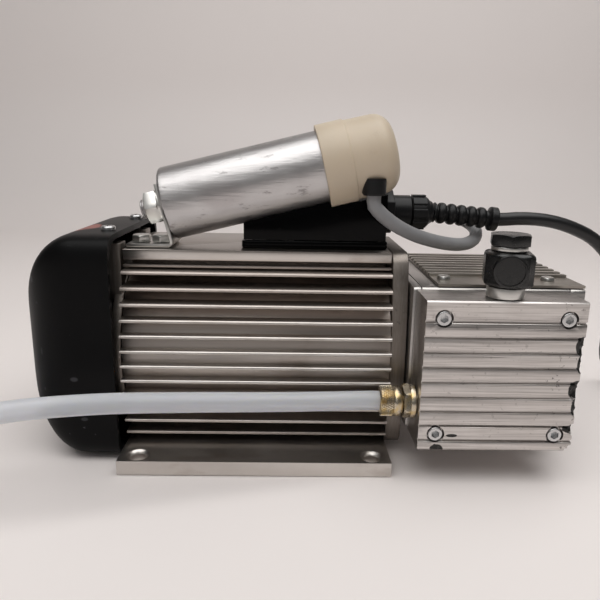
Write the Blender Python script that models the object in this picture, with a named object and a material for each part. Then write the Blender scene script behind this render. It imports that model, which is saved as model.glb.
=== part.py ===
"""Rotary vane vacuum pump: a finned induction motor that drives a four-vane pump on one shaft.

Every size below is in millimetres and becomes metres when a mesh is made. The origin is on the
ground under the motor, at the middle of its base. +X runs along the shaft from the fan to the pump,
-Y is the front, where the filter box and the hose are, and +Z is up.
"""

from math import asin, atan2, cos, hypot, pi, radians, sin, sqrt

import bmesh
import bpy
from mathutils import Euler, Matrix, Vector

MM = 0.001
GAP = 0.3  # between two pieces that rest on each other
RUN = 0.2  # radial running clearance of a shaft, a rotor or a screw in its hole

# ---- motor: one length of aluminium extrusion -------------------------------------------------
MOTOR_LENGTH = 109.0
SHAFT_HEIGHT = 43.0
MOTOR_TOP = 86.0
FOOT_WIDTH = 105.0
FOOT_THICKNESS = 6.0
FOOT_HOLE_SPACING = 94.0
FOOT_HOLE_RADIUS = 3.3
TOP_PLATE_WIDTH = 54.0
TOP_PLATE_THICKNESS = 4.2
BARREL_RADIUS = 36.0
BARREL_BORE_RADIUS = 31.5
NECK_WIDTH = 26.0
FIN_COUNT = 12
FIN_LOW = 9.8
FIN_PITCH = 6.13
FIN_THICKNESS = 1.5
FIN_SPAN = 80.0
FIN_ARC_RADIUS = 93.5
FIN_ARC_HEIGHT = 38.9
FLANGE_THICKNESS = 6.5
FLANGE_WIDTH = 66.0
FLANGE_BOTTOM = 3.0
FAN_SHIELD_THICKNESS = 4.0
FAN_SHIELD_RADIUS = 36.0
STACK_TO_ENDS = (24.5, 28.5)  # from the extrusion's fan end and pump end
STATOR_BORE_RADIUS = 17.4
STATOR_SLOTS = 12
WINDING_OVERHANG = 13.5
FAN_RADIUS = 29.0
FAN_LENGTH = 15.0
FAN_BLADES = 8

# ---- fan cover --------------------------------------------------------------------------------
COVER_RIM_GAP = 1.5
COVER_LENGTH = 39.2
COVER_DOME = 25.0
COVER_WIDTH = 85.0
COVER_BOTTOM = 1.0
COVER_TOP = 93.0
COVER_WALL = 2.4
COVER_SQUARENESS = 12.0
COVER_TOP_DRAW = 38.0
COVER_BOTTOM_DRAW = 42.0
COVER_SIDE_DRAW = 23.0
COVER_SLOTS = 5
COVER_SCREW_Y = 22.0
COVER_SCREW_INSET = 5.0

# ---- shaft and bearings -----------------------------------------------------------------------
SHAFT_RADIUS = 6.0
FAN_BEARING = {"bore": 4.0, "outer": 11.0, "width": 7.0}
PUMP_BEARING = {"bore": 5.0, "outer": 13.0, "width": 8.0}

# ---- pump head --------------------------------------------------------------------------------
PUMP_LENGTH = 68.5
PUMP_FLANGE_GAP = 0.7
PUMP_FRONT = -37.0
PUMP_BACK = 32.6
PUMP_BOTTOM = 14.3
PUMP_TOP = 74.2
INNER_COVER_THICKNESS = 3.2
OUTER_COVER_THICKNESS = 6.0
CYLINDER_RADIUS = 22.5
ECCENTRICITY = 3.0
ROTOR_RADIUS = 19.4
VANE_COUNT = 4
VANE_THICKNESS = 3.0
VANE_HEIGHT = 11.5
VANE_FIRST_ANGLE = 30.0
VANE_RECESS = 0.15
KEY_SIZE = 3.0
COOLING_PLATE_INSET = 9.9
COOLING_PLATE_FRONT = -36.2
COOLING_PLATE_BACK = 31.5
COOLING_PLATE_THICKNESS = 2.0
COOLING_RIB_PITCH = 6.1
COOLING_RIBS = 10
COOLING_GROOVE_WIDTH = 3.1
COOLING_GROOVE_DEPTH = 1.1

# ---- filter box on the front of the pump head --------------------------------------------------
BOX_INSET = 1.0
BOX_LENGTH = 59.5
BOX_FRONT = -56.7
BOX_BOTTOM = 14.3
BOX_TOP = 73.7
GASKET_THICKNESS = 0.6
BOX_GROOVES = 9
BOX_GROOVE_PITCH = 5.91
BOX_TOP_STRIP = 7.9
BOX_GROOVE_WIDTH = 0.85
BOX_GROOVE_DEPTH = 1.0
BOX_WALL = 4.0
BOX_POCKET_SPANS = ((11.0, 23.0), (25.8, 48.5))  # from the box's left end
BOX_SCREW_INSET = 6.7
BOX_SCREW_HEAD_RADIUS = 2.75
BOX_SCREW_HEAD_LENGTH = 3.0
BOX_COUNTERBORE_GAP = 0.65
BOX_HEAD_RECESS = 0.3
M3_RADIUS = 1.5
PORT_RADIUS = 3.5
INLET_HEIGHT = 32.0
OUTLET_HEIGHT = 52.0

# ---- banjo fitting on the box, the exhaust ------------------------------------------------------
BANJO_INSET = 30.7
BANJO_Y = -49.2
BANJO_TURN = -12.5
BANJO_COLLAR = {"radius": 6.9, "height": 4.2}
BANJO_BODY = {"width": 17.0, "height": 12.7}
BANJO_WASHER = {"radius": 6.6, "height": 1.7}
BANJO_HEX = 13.5
BANJO_HEX_HEIGHT = 4.1
BANJO_BOLT_RADIUS = 4.2
BANJO_PORT_RADIUS = 5.0

# ---- hose fitting on the box's end face, the inlet ----------------------------------------------
INLET_Y = -47.2
INLET_Z = 30.6
INLET_FLANGE_RADIUS = 6.6
INLET_FLANGE_LENGTH = 2.2
INLET_HEX = 12.0
INLET_HEX_LENGTH = 2.6
INLET_THREAD_RADIUS = 4.1
HOSE_NUT_RADIUS = 6.1
HOSE_NUT_LENGTH = 8.8
HOSE_NUT_FLUTES = 24
HOSE_DIAMETER = 7.6
HOSE_BORE_RADIUS = 2.8

# ---- terminal box ------------------------------------------------------------------------------
TERMINAL_LENGTH = 60.7
TERMINAL_INSET = 0.9
TERMINAL_FRONT = -20.0
TERMINAL_BACK = 27.0
TERMINAL_RIM_HEIGHT = 3.0
LID_INSET = 0.8
LID_WALL = 2.2
LID_LOW_TOP = 97.3
LID_HIGH_TOP = 113.0
GLAND_Y = 4.0
GLAND_Z = 99.9
GLAND_HEX = 17.0
GLAND_LENGTH = 13.5
GLAND_NUT_RADIUS = 7.2
GLAND_NUT_LENGTH = 9.7
LEAD_GLAND_Y = 19.4
LEAD_GLAND_Z = 99.0
LEAD_GLAND_HEX = 12.0
LEAD_GLAND_LENGTH = 11.0
RELIEF_LENGTH = 29.6
RELIEF_SLOPE = 5.5
RELIEF_RIBS = 5

# ---- capacitor ---------------------------------------------------------------------------------
CAN_OVERHANG = 31.0  # of the can's end beyond the terminal box
CAN_Y = -13.1
CAN_Z = 103.35
CAN_TILT = 13.9
CAN_RADIUS = 15.0
CAN_LENGTH = 75.0
CAP_START = 66.0
CAP_RADIUS = 17.1
CAP_LENGTH = 30.4
CAP_BAND = 11.5
STUD_RADIUS = 4.0
STUD_NUT = 13.0
STUD_NUT_HEIGHT = 6.5
STRAP_WIDTH = 20.0
STRAP_THICKNESS = 1.4
STRAP_FOOT_LENGTH = 15.9
STRAP_SCREW_OFFSETS = (10.9, 2.6)  # from the can's end
STRAP_SCREWS_Y = -16.5
CAP_BUSH_PLACE = (84.4, -24.2)  # from the can's end, and Y
CAP_BUSH_BOTTOM = 108.8

# ---- cords: each route's points were chosen by hand and stay as they are -------------------------
CABLE_DIAMETER = 6.0
LEAD_DIAMETER = 5.8
LEAD_ROUTE = (
    (46.3, -24.2, 107.2), (46.4, -24.2, 105.0), (48.2, -24.1, 102.8), (51.6, -23.4, 99.8),
    (58.1, -21.2, 95.6), (67.7, -16.0, 91.3), (80.7, -8.0, 87.6), (91.0, -0.6, 86.3),
    (98.2, 7.4, 87.8), (100.0, 14.2, 91.6), (94.8, 19.4, 95.4), (85.0, 20.8, 97.9),
    (74.0, 19.6, 98.9), (64.5, 19.4, 99.0),
)
CABLE_ROUTE = (
    (107.6, 4.0, 97.0), (113.0, 4.0, 97.4), (119.0, 4.0, 97.8), (131.0, 4.0, 96.8),
    (143.0, 4.6, 93.4), (155.5, 7.2, 87.4), (167.3, 12.6, 76.6), (176.2, 20.8, 61.0),
    (180.5, 27.7, 47.3), (182.8, 34.9, 35.2), (186.4, 41.7, 22.9), (192.8, 47.6, 11.9),
    (203.2, 51.0, 5.2),
)
CABLE_COIL = {"centre": (228.0, 10.0), "mean": 33.0, "across": 4, "high": 2}
HOSE_ROUTE = (
    (48.3, -47.2, 30.6), (42.0, -47.4, 30.6), (30.0, -49.4, 31.0), (5.0, -54.5, 32.6), (-25.0, -61.0, 35.0),
    (-55.0, -67.5, 37.0), (-84.0, -74.0, 37.0), (-102.0, -77.0, 32.5), (-117.0, -78.8, 23.3),
    (-130.0, -79.6, 12.8), (-141.0, -79.8, 5.8), (-148.6, -79.8, 4.1),
)
HOSE_COIL = {"centre": (-176.0, -34.0), "mean": 42.0, "across": 2, "high": 2}
PLUG_RADIUS = 18.5
PLUG_LENGTH = 30.0
PLUG_RELIEF = 22.0
PLUG_PIN_RADIUS = 2.4
PLUG_PIN_LENGTH = 19.0
PLUG_PIN_SPACING = 19.0

# ---- sizes that follow from the ones above -------------------------------------------------------
MOTOR_END = MOTOR_LENGTH / 2
FLANGE_START = MOTOR_END + GAP
FLANGE_END = FLANGE_START + FLANGE_THICKNESS
SHIELD_INNER = -MOTOR_END - GAP
SHIELD_OUTER = SHIELD_INNER - FAN_SHIELD_THICKNESS
STACK_START = -MOTOR_END + STACK_TO_ENDS[0]
STACK_END = MOTOR_END - STACK_TO_ENDS[1]
COVER_RIM = -MOTOR_END - COVER_RIM_GAP
PUMP_START = FLANGE_END + PUMP_FLANGE_GAP
PUMP_END = PUMP_START + PUMP_LENGTH
COOLING_PLATE_START = PUMP_START + COOLING_PLATE_INSET
BOX_START = PUMP_START + BOX_INSET
BOX_END = BOX_START + BOX_LENGTH
BOX_POCKETS = tuple((BOX_START + a, BOX_START + b) for a, b in BOX_POCKET_SPANS)
BOX_COUNTERBORE_RADIUS = BOX_SCREW_HEAD_RADIUS + BOX_COUNTERBORE_GAP
BOX_COUNTERBORE_DEPTH = BOX_SCREW_HEAD_LENGTH + BOX_HEAD_RECESS
BANJO_X = BOX_START + BANJO_INSET
TERMINAL_END = MOTOR_END - TERMINAL_INSET
TERMINAL_START = TERMINAL_END - TERMINAL_LENGTH
GLAND_FACE = TERMINAL_END - LID_INSET + GAP
GLAND_NUT_START = GLAND_FACE + GLAND_LENGTH + GAP
CAN_END = (TERMINAL_START - CAN_OVERHANG, CAN_Y, CAN_Z)
STRAP_FOOT_END = CAN_END[0] - STRAP_FOOT_LENGTH
STRAP_SCREWS_X = tuple(CAN_END[0] - offset for offset in STRAP_SCREW_OFFSETS)
CAP_BUSH = (CAN_END[0] + CAP_BUSH_PLACE[0], CAP_BUSH_PLACE[1])
CYLINDER_START = PUMP_START + INNER_COVER_THICKNESS + GAP
CYLINDER_END = PUMP_END - OUTER_COVER_THICKNESS - GAP
BORE_HEIGHT = SHAFT_HEIGHT - ECCENTRICITY
BOX_BACK = PUMP_FRONT - 2 * GAP - GASKET_THICKNESS
LID_BOTTOM = MOTOR_TOP + GAP + TERMINAL_RIM_HEIGHT + GAP
SHAFT_AT = (0.0, 0.0, SHAFT_HEIGHT)


# ---- making meshes -------------------------------------------------------------------------------
def clear_scene():
    for obj in list(bpy.data.objects):
        bpy.data.objects.remove(obj, do_unlink=True)


def material(name, colour, roughness, metallic=0.0):
    found = bpy.data.materials.get(name)
    if found:
        return found
    made = bpy.data.materials.new(name)
    made.use_nodes = True
    shader = made.node_tree.nodes["Principled BSDF"]
    shader.inputs["Base Color"].default_value = (*colour, 1.0)
    shader.inputs["Roughness"].default_value = roughness
    shader.inputs["Metallic"].default_value = metallic
    return made


def aluminium():
    return material("aluminium", (0.66, 0.64, 0.62), 0.38, 1.0)


def steel():
    return material("steel", (0.60, 0.60, 0.61), 0.30, 1.0)


def zinc():
    return material("zinc_plate", (0.62, 0.63, 0.63), 0.35, 1.0)


def nickel():
    return material("nickel_brass", (0.70, 0.64, 0.50), 0.28, 1.0)


def laminations():
    return material("laminations", (0.30, 0.30, 0.32), 0.55, 1.0)


def copper():
    return material("winding_copper", (0.55, 0.22, 0.10), 0.45, 1.0)


def carbon():
    return material("carbon", (0.05, 0.05, 0.055), 0.6)


def black_plastic():
    return material("black_plastic", (0.018, 0.018, 0.020), 0.45)


def black_gloss():
    return material("black_gloss", (0.008, 0.008, 0.009), 0.15)


def cream_plastic():
    return material("cream_plastic", (0.72, 0.62, 0.48), 0.5)


def white_plastic():
    return material("white_plastic", (0.75, 0.75, 0.72), 0.5)


def grey_jacket():
    return material("grey_jacket", (0.30, 0.30, 0.30), 0.5)


def black_jacket():
    return material("black_jacket", (0.02, 0.02, 0.02), 0.5)


def clear_hose():
    return material("clear_hose", (0.72, 0.76, 0.80), 0.3)


def felt():
    return material("felt", (0.55, 0.52, 0.45), 0.95)


def rubber():
    return material("rubber", (0.03, 0.03, 0.03), 0.8)


def finish_object(name, bm, finish, parent=None):
    """Turns a bmesh in millimetres into a named object, with its normals out and its scale applied."""
    bmesh.ops.recalc_face_normals(bm, faces=bm.faces)
    bmesh.ops.scale(bm, vec=(MM, MM, MM), verts=bm.verts)
    mesh = bpy.data.meshes.new(name)
    bm.to_mesh(mesh)
    bm.free()
    mesh.shade_smooth()
    mesh.set_sharp_from_angle(angle=radians(32))
    if finish:
        mesh.materials.append(finish)
    obj = bpy.data.objects.new(name, mesh)
    bpy.context.scene.collection.objects.link(obj)
    obj.parent = parent
    return obj


def boolean(target, tool, operation):
    """Keeps the tool as a wire guide that the model leaves out."""
    tool.hide_render = True
    tool.display_type = "WIRE"
    modifier = target.modifiers.new(tool.name, "BOOLEAN")
    modifier.operation = operation
    modifier.object = tool
    return target


def cut(target, bm):
    count = len(target.modifiers)
    return boolean(target, finish_object(f"{target.name}.cut{count}", bm, None, target.parent), "DIFFERENCE")


def join(target, bm):
    count = len(target.modifiers)
    return boolean(target, finish_object(f"{target.name}.join{count}", bm, None, target.parent), "UNION")


def placed(axis, a, b, along):
    """A point from two cross coordinates and one along the axis."""
    return {"X": (along, a, b), "Y": (a, along, b), "Z": (a, b, along)}[axis]


def add_prism(bm, outline, axis, start, end):
    """A closed outline carried along an axis. The outline holds the two other axes, in X, Y, Z order."""
    low = [bm.verts.new(placed(axis, a, b, start)) for a, b in outline]
    high = [bm.verts.new(placed(axis, a, b, end)) for a, b in outline]
    faces = [bm.faces.new(low), bm.faces.new(high)]
    for i, vert in enumerate(low):
        after = (i + 1) % len(low)
        faces.append(bm.faces.new((vert, low[after], high[after], high[i])))
    return faces


def add_box(bm, low, high):
    outline = rectangle(low[0], high[0], low[1], high[1])
    return add_prism(bm, outline, "Z", low[2], high[2])


def add_turned(bm, profile, axis, centre=(0.0, 0.0), segments=48, phase=0.5):
    """A profile of (radius, place along the axis) turned about it. A profile off the axis is closed into a ring."""
    rings = []
    for radius, along in profile:
        if radius == 0:
            rings.append([bm.verts.new(placed(axis, *centre, along))] * segments)
            continue
        ring = []
        for i in range(segments):
            angle = 2 * pi * (i + phase) / segments
            a = centre[0] + radius * cos(angle)
            b = centre[1] + radius * sin(angle)
            ring.append(bm.verts.new(placed(axis, a, b, along)))
        rings.append(ring)
    pairs = list(zip(rings, rings[1:]))
    if profile[0][0] > 0:
        pairs.append((rings[-1], rings[0]))
    for one, two in pairs:
        for i in range(segments):
            after = (i + 1) % segments
            corners = [one[i], one[after], two[after], two[i]]
            unique = [vert for k, vert in enumerate(corners) if vert not in corners[:k]]
            if len(unique) > 2:
                bm.faces.new(unique)


def add_rod(bm, radius, axis, centre, start, end, segments=24):
    add_turned(bm, [(0, start), (radius, start), (radius, end), (0, end)], axis, centre, segments)


def add_tube(bm, inner, outer, axis, centre, start, end, segments=48):
    profile = [(inner, start), (outer, start), (outer, end), (inner, end)]
    add_turned(bm, profile, axis, centre, segments)


def rectangle(a0, a1, b0, b1):
    return [(a0, b0), (a1, b0), (a1, b1), (a0, b1)]


def rounded_rectangle(a0, a1, b0, b1, radius, steps=4):
    points = []
    corners = ((a1 - radius, b1 - radius, 0), (a0 + radius, b1 - radius, 1))
    corners += ((a0 + radius, b0 + radius, 2), (a1 - radius, b0 + radius, 3))
    for a, b, quarter in corners:
        for i in range(steps + 1):
            angle = pi / 2 * (quarter + i / steps)
            points.append((a + radius * cos(angle), b + radius * sin(angle)))
    return points


def polygon(across_flats, sides=6, centre=(0.0, 0.0), phase=0.5):
    radius = across_flats / 2 / cos(pi / sides)
    turns = [2 * pi * (i + phase) / sides for i in range(sides)]
    return [(centre[0] + radius * cos(t), centre[1] + radius * sin(t)) for t in turns]


def move(bm, matrix):
    bmesh.ops.transform(bm, matrix=matrix, verts=bm.verts)


def axis_empty(name, location, parent=None):
    """Stands on a joint's axis, so that what hangs under it turns or slides about it."""
    empty = bpy.data.objects.new(name, None)
    bpy.context.scene.collection.objects.link(empty)
    empty.location = Vector(location) * MM
    empty.parent = parent
    return empty


# ---- motor housing and its end plates --------------------------------------------------------------
def fin_tip(height):
    drop = FIN_ARC_RADIUS - sqrt(FIN_ARC_RADIUS**2 - (height - FIN_ARC_HEIGHT) ** 2)
    return FIN_SPAN / 2 - drop


def barrel_side(height):
    inside = BARREL_RADIUS**2 - (height - SHAFT_HEIGHT) ** 2
    return max(NECK_WIDTH / 2, sqrt(max(inside, 0.0)))


def groove_wall(low, high, steps=3):
    heights = [low + (high - low) * i / steps for i in range(steps + 1)]
    return [(barrel_side(z), z) for z in heights]


def housing_side():
    """The right half of the extrusion's outline, from the foot up to the top plate."""
    half = FIN_THICKNESS / 2
    round_off = half * 0.6
    points = [(FOOT_WIDTH / 2, 0.0), (FOOT_WIDTH / 2, FOOT_THICKNESS)]
    low = FOOT_THICKNESS
    for i in range(FIN_COUNT):
        height = FIN_LOW + i * FIN_PITCH
        tip = fin_tip(height)
        points += groove_wall(low, height - half)
        points += [(tip - round_off, height - half), (tip, height - half + round_off)]
        points += [(tip, height + half - round_off), (tip - round_off, height + half)]
        low = height + half
    points += groove_wall(low, MOTOR_TOP - TOP_PLATE_THICKNESS)
    points += [(TOP_PLATE_WIDTH / 2, MOTOR_TOP - TOP_PLATE_THICKNESS), (TOP_PLATE_WIDTH / 2, MOTOR_TOP)]
    return points


def motor_housing():
    right = housing_side()
    outline = right + [(-y, z) for y, z in reversed(right)]
    bm = bmesh.new()
    add_prism(bm, outline, "X", -MOTOR_END, MOTOR_END)
    housing = finish_object("motor_housing", bm, aluminium())
    holes = bmesh.new()
    ends = (-MOTOR_END - 1, MOTOR_END + 1)
    add_rod(holes, BARREL_BORE_RADIUS, "X", (0.0, SHAFT_HEIGHT), *ends, segments=64)
    half = FOOT_HOLE_SPACING / 2
    sink = FOOT_HOLE_RADIUS + 1.3
    for x in (-half, half):
        for y in (-half, half):
            profile = [(0, -1), (FOOT_HOLE_RADIUS, -1), (FOOT_HOLE_RADIUS, FOOT_THICKNESS - 1.3)]
            profile += [(sink, FOOT_THICKNESS), (sink, FOOT_THICKNESS + 1), (0, FOOT_THICKNESS + 1)]
            add_turned(holes, profile, "Z", (x, y), 24)
    for x in STRAP_SCREWS_X:
        low = MOTOR_TOP - TOP_PLATE_THICKNESS - 1
        add_rod(holes, 2.0 + RUN, "Z", (x, STRAP_SCREWS_Y), low, MOTOR_TOP + 1, 16)
    return cut(housing, holes)


def flange_side(height):
    middle = (MOTOR_TOP + FLANGE_BOTTOM) / 2 - 8
    return FLANGE_WIDTH / 2 - 0.00233 * (height - middle) ** 2


def pump_end_flange():
    """Closes the motor at the pump end and holds that bearing and the shaft seal."""
    low = FLANGE_BOTTOM
    corner = 4.0
    heights = [low + corner + (MOTOR_TOP - low - 2 * corner) * i / 12 for i in range(13)]
    right = [(flange_side(low) - corner, low), (flange_side(low) - 1.2, low + 1.2)]
    right += [(flange_side(z), z) for z in heights]
    right += [(flange_side(MOTOR_TOP) - 1.0, MOTOR_TOP - 1.0), (flange_side(MOTOR_TOP) - corner, MOTOR_TOP)]
    bm = bmesh.new()
    add_prism(bm, right + [(-y, z) for y, z in reversed(right)], "X", FLANGE_START, FLANGE_END)
    flange = finish_object("pump_end_flange", bm, aluminium())
    width = PUMP_BEARING["width"]
    boss = bmesh.new()
    add_rod(boss, PUMP_BEARING["outer"] + 4, "X", (0, SHAFT_HEIGHT), FLANGE_START - width - 0.6, FLANGE_START + 2, 48)
    join(flange, boss)
    holes = bmesh.new()
    profile = [(0, FLANGE_START - width - 1.6), (PUMP_BEARING["outer"] + RUN, FLANGE_START - width - 1.6)]
    profile += [(PUMP_BEARING["outer"] + RUN, FLANGE_START), (SHAFT_RADIUS + 1, FLANGE_START)]
    profile += [(SHAFT_RADIUS + 1, FLANGE_END - 3.8), (9.2, FLANGE_END - 3.8)]
    profile += [(9.2, FLANGE_END + 1), (0, FLANGE_END + 1)]
    add_turned(holes, profile, "X", (0.0, SHAFT_HEIGHT), 36)
    return cut(flange, holes)


def shaft_seal():
    bm = bmesh.new()
    profile = [(5 + RUN, FLANGE_END - 3.5), (8.9, FLANGE_END - 3.5), (8.9, FLANGE_END - 0.3)]
    profile += [(7.2, FLANGE_END - 0.3), (7.0, FLANGE_END - 2.5), (5 + RUN, FLANGE_END - 1.5)]
    add_turned(bm, profile, "X", (0.0, SHAFT_HEIGHT), 28)
    return finish_object("shaft_seal", bm, rubber())


def fan_end_shield():
    """Closes the motor at the fan end. Its two lugs carry the fan cover."""
    width = FAN_BEARING["width"]
    boss_end = SHIELD_INNER - width - 1.2
    bm = bmesh.new()
    add_rod(bm, FAN_SHIELD_RADIUS, "X", (0.0, SHAFT_HEIGHT), SHIELD_OUTER, SHIELD_INNER, 48)
    shield = finish_object("fan_end_shield", bm, aluminium())
    extra = bmesh.new()
    add_rod(extra, FAN_BEARING["outer"] + 3.5, "X", (0, SHAFT_HEIGHT), boss_end, SHIELD_INNER - 2, 36)
    for y in (-COVER_SCREW_Y, COVER_SCREW_Y):
        low = SHAFT_HEIGHT + FAN_SHIELD_RADIUS * 0.6
        high = COVER_TOP - COVER_WALL - 2.4
        inner = COVER_RIM - COVER_SCREW_INSET
        add_box(extra, (inner - 4, y - 4.5, low), (SHIELD_INNER - 0.8, y + 4.5, high))
    join(shield, extra)
    holes = bmesh.new()
    profile = [(0, boss_end - 1), (FAN_BEARING["bore"] + 1, boss_end - 1)]
    profile += [(FAN_BEARING["bore"] + 1, SHIELD_INNER - width - GAP), (FAN_BEARING["outer"] + RUN, SHIELD_INNER - width - GAP)]
    profile += [(FAN_BEARING["outer"] + RUN, SHIELD_INNER + 1), (0, SHIELD_INNER + 1)]
    add_turned(holes, profile, "X", (0.0, SHAFT_HEIGHT), 36)
    for y in (-COVER_SCREW_Y, COVER_SCREW_Y):
        add_rod(holes, M3_RADIUS + RUN, "Z", (COVER_RIM - COVER_SCREW_INSET, y), COVER_TOP - 14, COVER_TOP + 2, 16)
    return cut(shield, holes)


# ---- stator and rotor --------------------------------------------------------------------------------
def slot_outline(extra):
    """A slot's window in its own place at the top of the stack, grown by extra all round."""
    inner = STATOR_BORE_RADIUS + 2.2 - extra
    outer = STATOR_BORE_RADIUS + 9.4 + extra
    return rectangle(-2.2 - extra, 2.2 + extra, inner, outer)


def add_slots(bm, extra, start, end):
    for i in range(STATOR_SLOTS):
        angle = 2 * pi * i / STATOR_SLOTS
        turned = [(a * cos(angle) - b * sin(angle), a * sin(angle) + b * cos(angle)) for a, b in slot_outline(extra)]
        add_prism(bm, [(y, z + SHAFT_HEIGHT) for y, z in turned], "X", start, end)


def stator_core():
    bm = bmesh.new()
    outer = BARREL_BORE_RADIUS - GAP
    add_tube(bm, STATOR_BORE_RADIUS, outer, "X", (0.0, SHAFT_HEIGHT), STACK_START, STACK_END, 64)
    core = finish_object("stator_core", bm, laminations())
    slots = bmesh.new()
    add_slots(slots, GAP, STACK_START - 1, STACK_END + 1)
    return cut(core, slots)


def stator_winding():
    inner = STATOR_BORE_RADIUS + 1.4
    outer = STATOR_BORE_RADIUS + 11.0
    bm = bmesh.new()
    for start, end in (
        (STACK_START - GAP - WINDING_OVERHANG, STACK_START - GAP),
        (STACK_END + GAP, STACK_END + GAP + WINDING_OVERHANG),
    ):
        profile = [(inner, start + 3), (inner + 3, start), (outer - 3, start), (outer, start + 3)]
        profile += [(outer, end - 3), (outer - 3, end), (inner + 3, end), (inner, end - 3)]
        add_turned(bm, profile, "X", (0.0, SHAFT_HEIGHT), 24)
    winding = finish_object("stator_winding", bm, copper())
    bars = bmesh.new()
    add_slots(bars, 0.0, STACK_START - 4, STACK_END + 4)
    return join(winding, bars)


def bearing_rings(prefix, size, end, parent):
    """The fixed outer ring with its two shields, and the inner ring that turns with the shaft."""
    start = end - size["width"]
    inner_top = size["bore"] + 2.2
    race = size["outer"] - 2.2
    bm = bmesh.new()
    profile = [(inner_top + GAP, start), (size["outer"], start), (size["outer"], end), (inner_top + GAP, end)]
    profile += [(inner_top + GAP, end - 0.8), (race, end - 0.8), (race, start + 0.8), (inner_top + GAP, start + 0.8)]
    add_turned(bm, profile, "X", (0.0, SHAFT_HEIGHT), 36)
    finish_object(f"{prefix}_bearing_outer_ring", bm, steel())
    bm = bmesh.new()
    add_tube(bm, size["bore"] + 0.1, inner_top, "X", (0, 0), start, end, 32)
    finish_object(f"{prefix}_bearing_inner_ring", bm, steel(), parent)


def motor_shaft(parent):
    """One shaft for the fan, the motor's rotor and the pump's rotor, with a keyway in the pump length."""
    fan_seat = SHIELD_INNER - FAN_BEARING["width"] - 0.2
    pump_seat = FLANGE_START - PUMP_BEARING["width"] - 0.6
    end = PUMP_END - 1.5
    profile = [(0, fan_seat - 24), (3.5, fan_seat - 24), (4, fan_seat - 23.5), (4, SHIELD_INNER)]
    profile += [(SHAFT_RADIUS, SHIELD_INNER + 0.3), (SHAFT_RADIUS, pump_seat), (5, pump_seat), (5, end - 0.5), (4.5, end), (0, end)]
    bm = bmesh.new()
    add_turned(bm, profile, "X", segments=32)
    shaft = finish_object("motor_shaft", bm, steel(), parent)
    keyway = bmesh.new()
    start, end = key_span()
    half = KEY_SIZE / 2 + 0.1
    add_box(keyway, (start - GAP, -half, -8), (end + GAP, half, -5 + 1.2))
    return cut(shaft, keyway)


def key_span():
    middle = (CYLINDER_START + CYLINDER_END) / 2
    return middle - 14, middle + 14


def rotor_key(parent):
    start, end = key_span()
    half = KEY_SIZE / 2
    bm = bmesh.new()
    add_box(bm, (start, -half, -5 - 1.3), (end, half, -5 + 0.9))
    return finish_object("rotor_key", bm, steel(), parent)


def rotor_core(parent):
    """The motor's squirrel-cage rotor: laminations between two cast rings."""
    outer = STATOR_BORE_RADIUS - 0.4
    inner = SHAFT_RADIUS + 0.1
    a, b = STACK_START, STACK_END
    profile = [(inner, a), (outer, a), (outer, b), (outer - 2, b), (outer - 2, b + 6), (outer - 7, b + 6)]
    profile += [(outer - 7, b), (inner, b)]
    ends = [(outer - 7, a), (outer - 7, a - 6), (outer - 2, a - 6), (outer - 2, a)]
    profile = [(inner, a)] + ends + profile[1:]
    bm = bmesh.new()
    add_turned(bm, profile, "X", segments=32)
    return finish_object("rotor_core", bm, laminations(), parent)


def cooling_fan(parent):
    """A plain radial fan on the end of the shaft."""
    hub = 9.0
    end = SHIELD_INNER - FAN_BEARING["width"] - 6
    start = end - FAN_LENGTH
    bm = bmesh.new()
    profile = [(4.15, start), (hub, start), (hub, end - 2), (FAN_RADIUS, end - 2), (FAN_RADIUS, end), (4.15, end)]
    add_turned(bm, profile, "X", segments=40)
    fan = finish_object("cooling_fan", bm, black_plastic(), parent)
    blades = bmesh.new()
    for i in range(FAN_BLADES):
        angle = 2 * pi * i / FAN_BLADES
        outline = rectangle(-0.9, 0.9, hub - 1.2, FAN_RADIUS - 0.6)
        turned = [(a * cos(angle) - b * sin(angle), a * sin(angle) + b * cos(angle)) for a, b in outline]
        add_prism(blades, turned, "X", start + 1, end - 1)
    return join(fan, blades)


# ---- fan cover -----------------------------------------------------------------------------------
def cover_ring(inset, draw):
    """One cross-section of the cover: a soft-cornered square, drawn in by draw towards the closed end."""
    half = COVER_WIDTH / 2 - inset - COVER_SIDE_DRAW * draw
    low = COVER_BOTTOM + inset + COVER_BOTTOM_DRAW * draw
    high = COVER_TOP - inset - COVER_TOP_DRAW * draw
    middle = (low + high) / 2
    tall = (high - low) / 2
    points = []
    for i in range(40):
        angle = 2 * pi * (i + 0.5) / 40
        angle += 0.12 * sin(4 * angle)  # closer together at the corners
        c, s = cos(angle), sin(angle)
        reach = (abs(c) ** COVER_SQUARENESS + abs(s) ** COVER_SQUARENESS) ** (-1 / COVER_SQUARENESS)
        points.append((half * c * reach, middle + tall * s * reach))
    return points


def cover_stations(inset):
    """Places along X with how far the dome has drawn in there, from the rim to the closed end."""
    start = COVER_RIM - COVER_LENGTH + COVER_DOME
    stations = [(COVER_RIM, 0.0), (start, 0.0)]
    for i in range(1, 7):
        angle = pi / 2 * i / 6
        depth = COVER_DOME - inset
        stations.append((start - depth * sin(angle), 1 - cos(angle)))
    return stations


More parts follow.
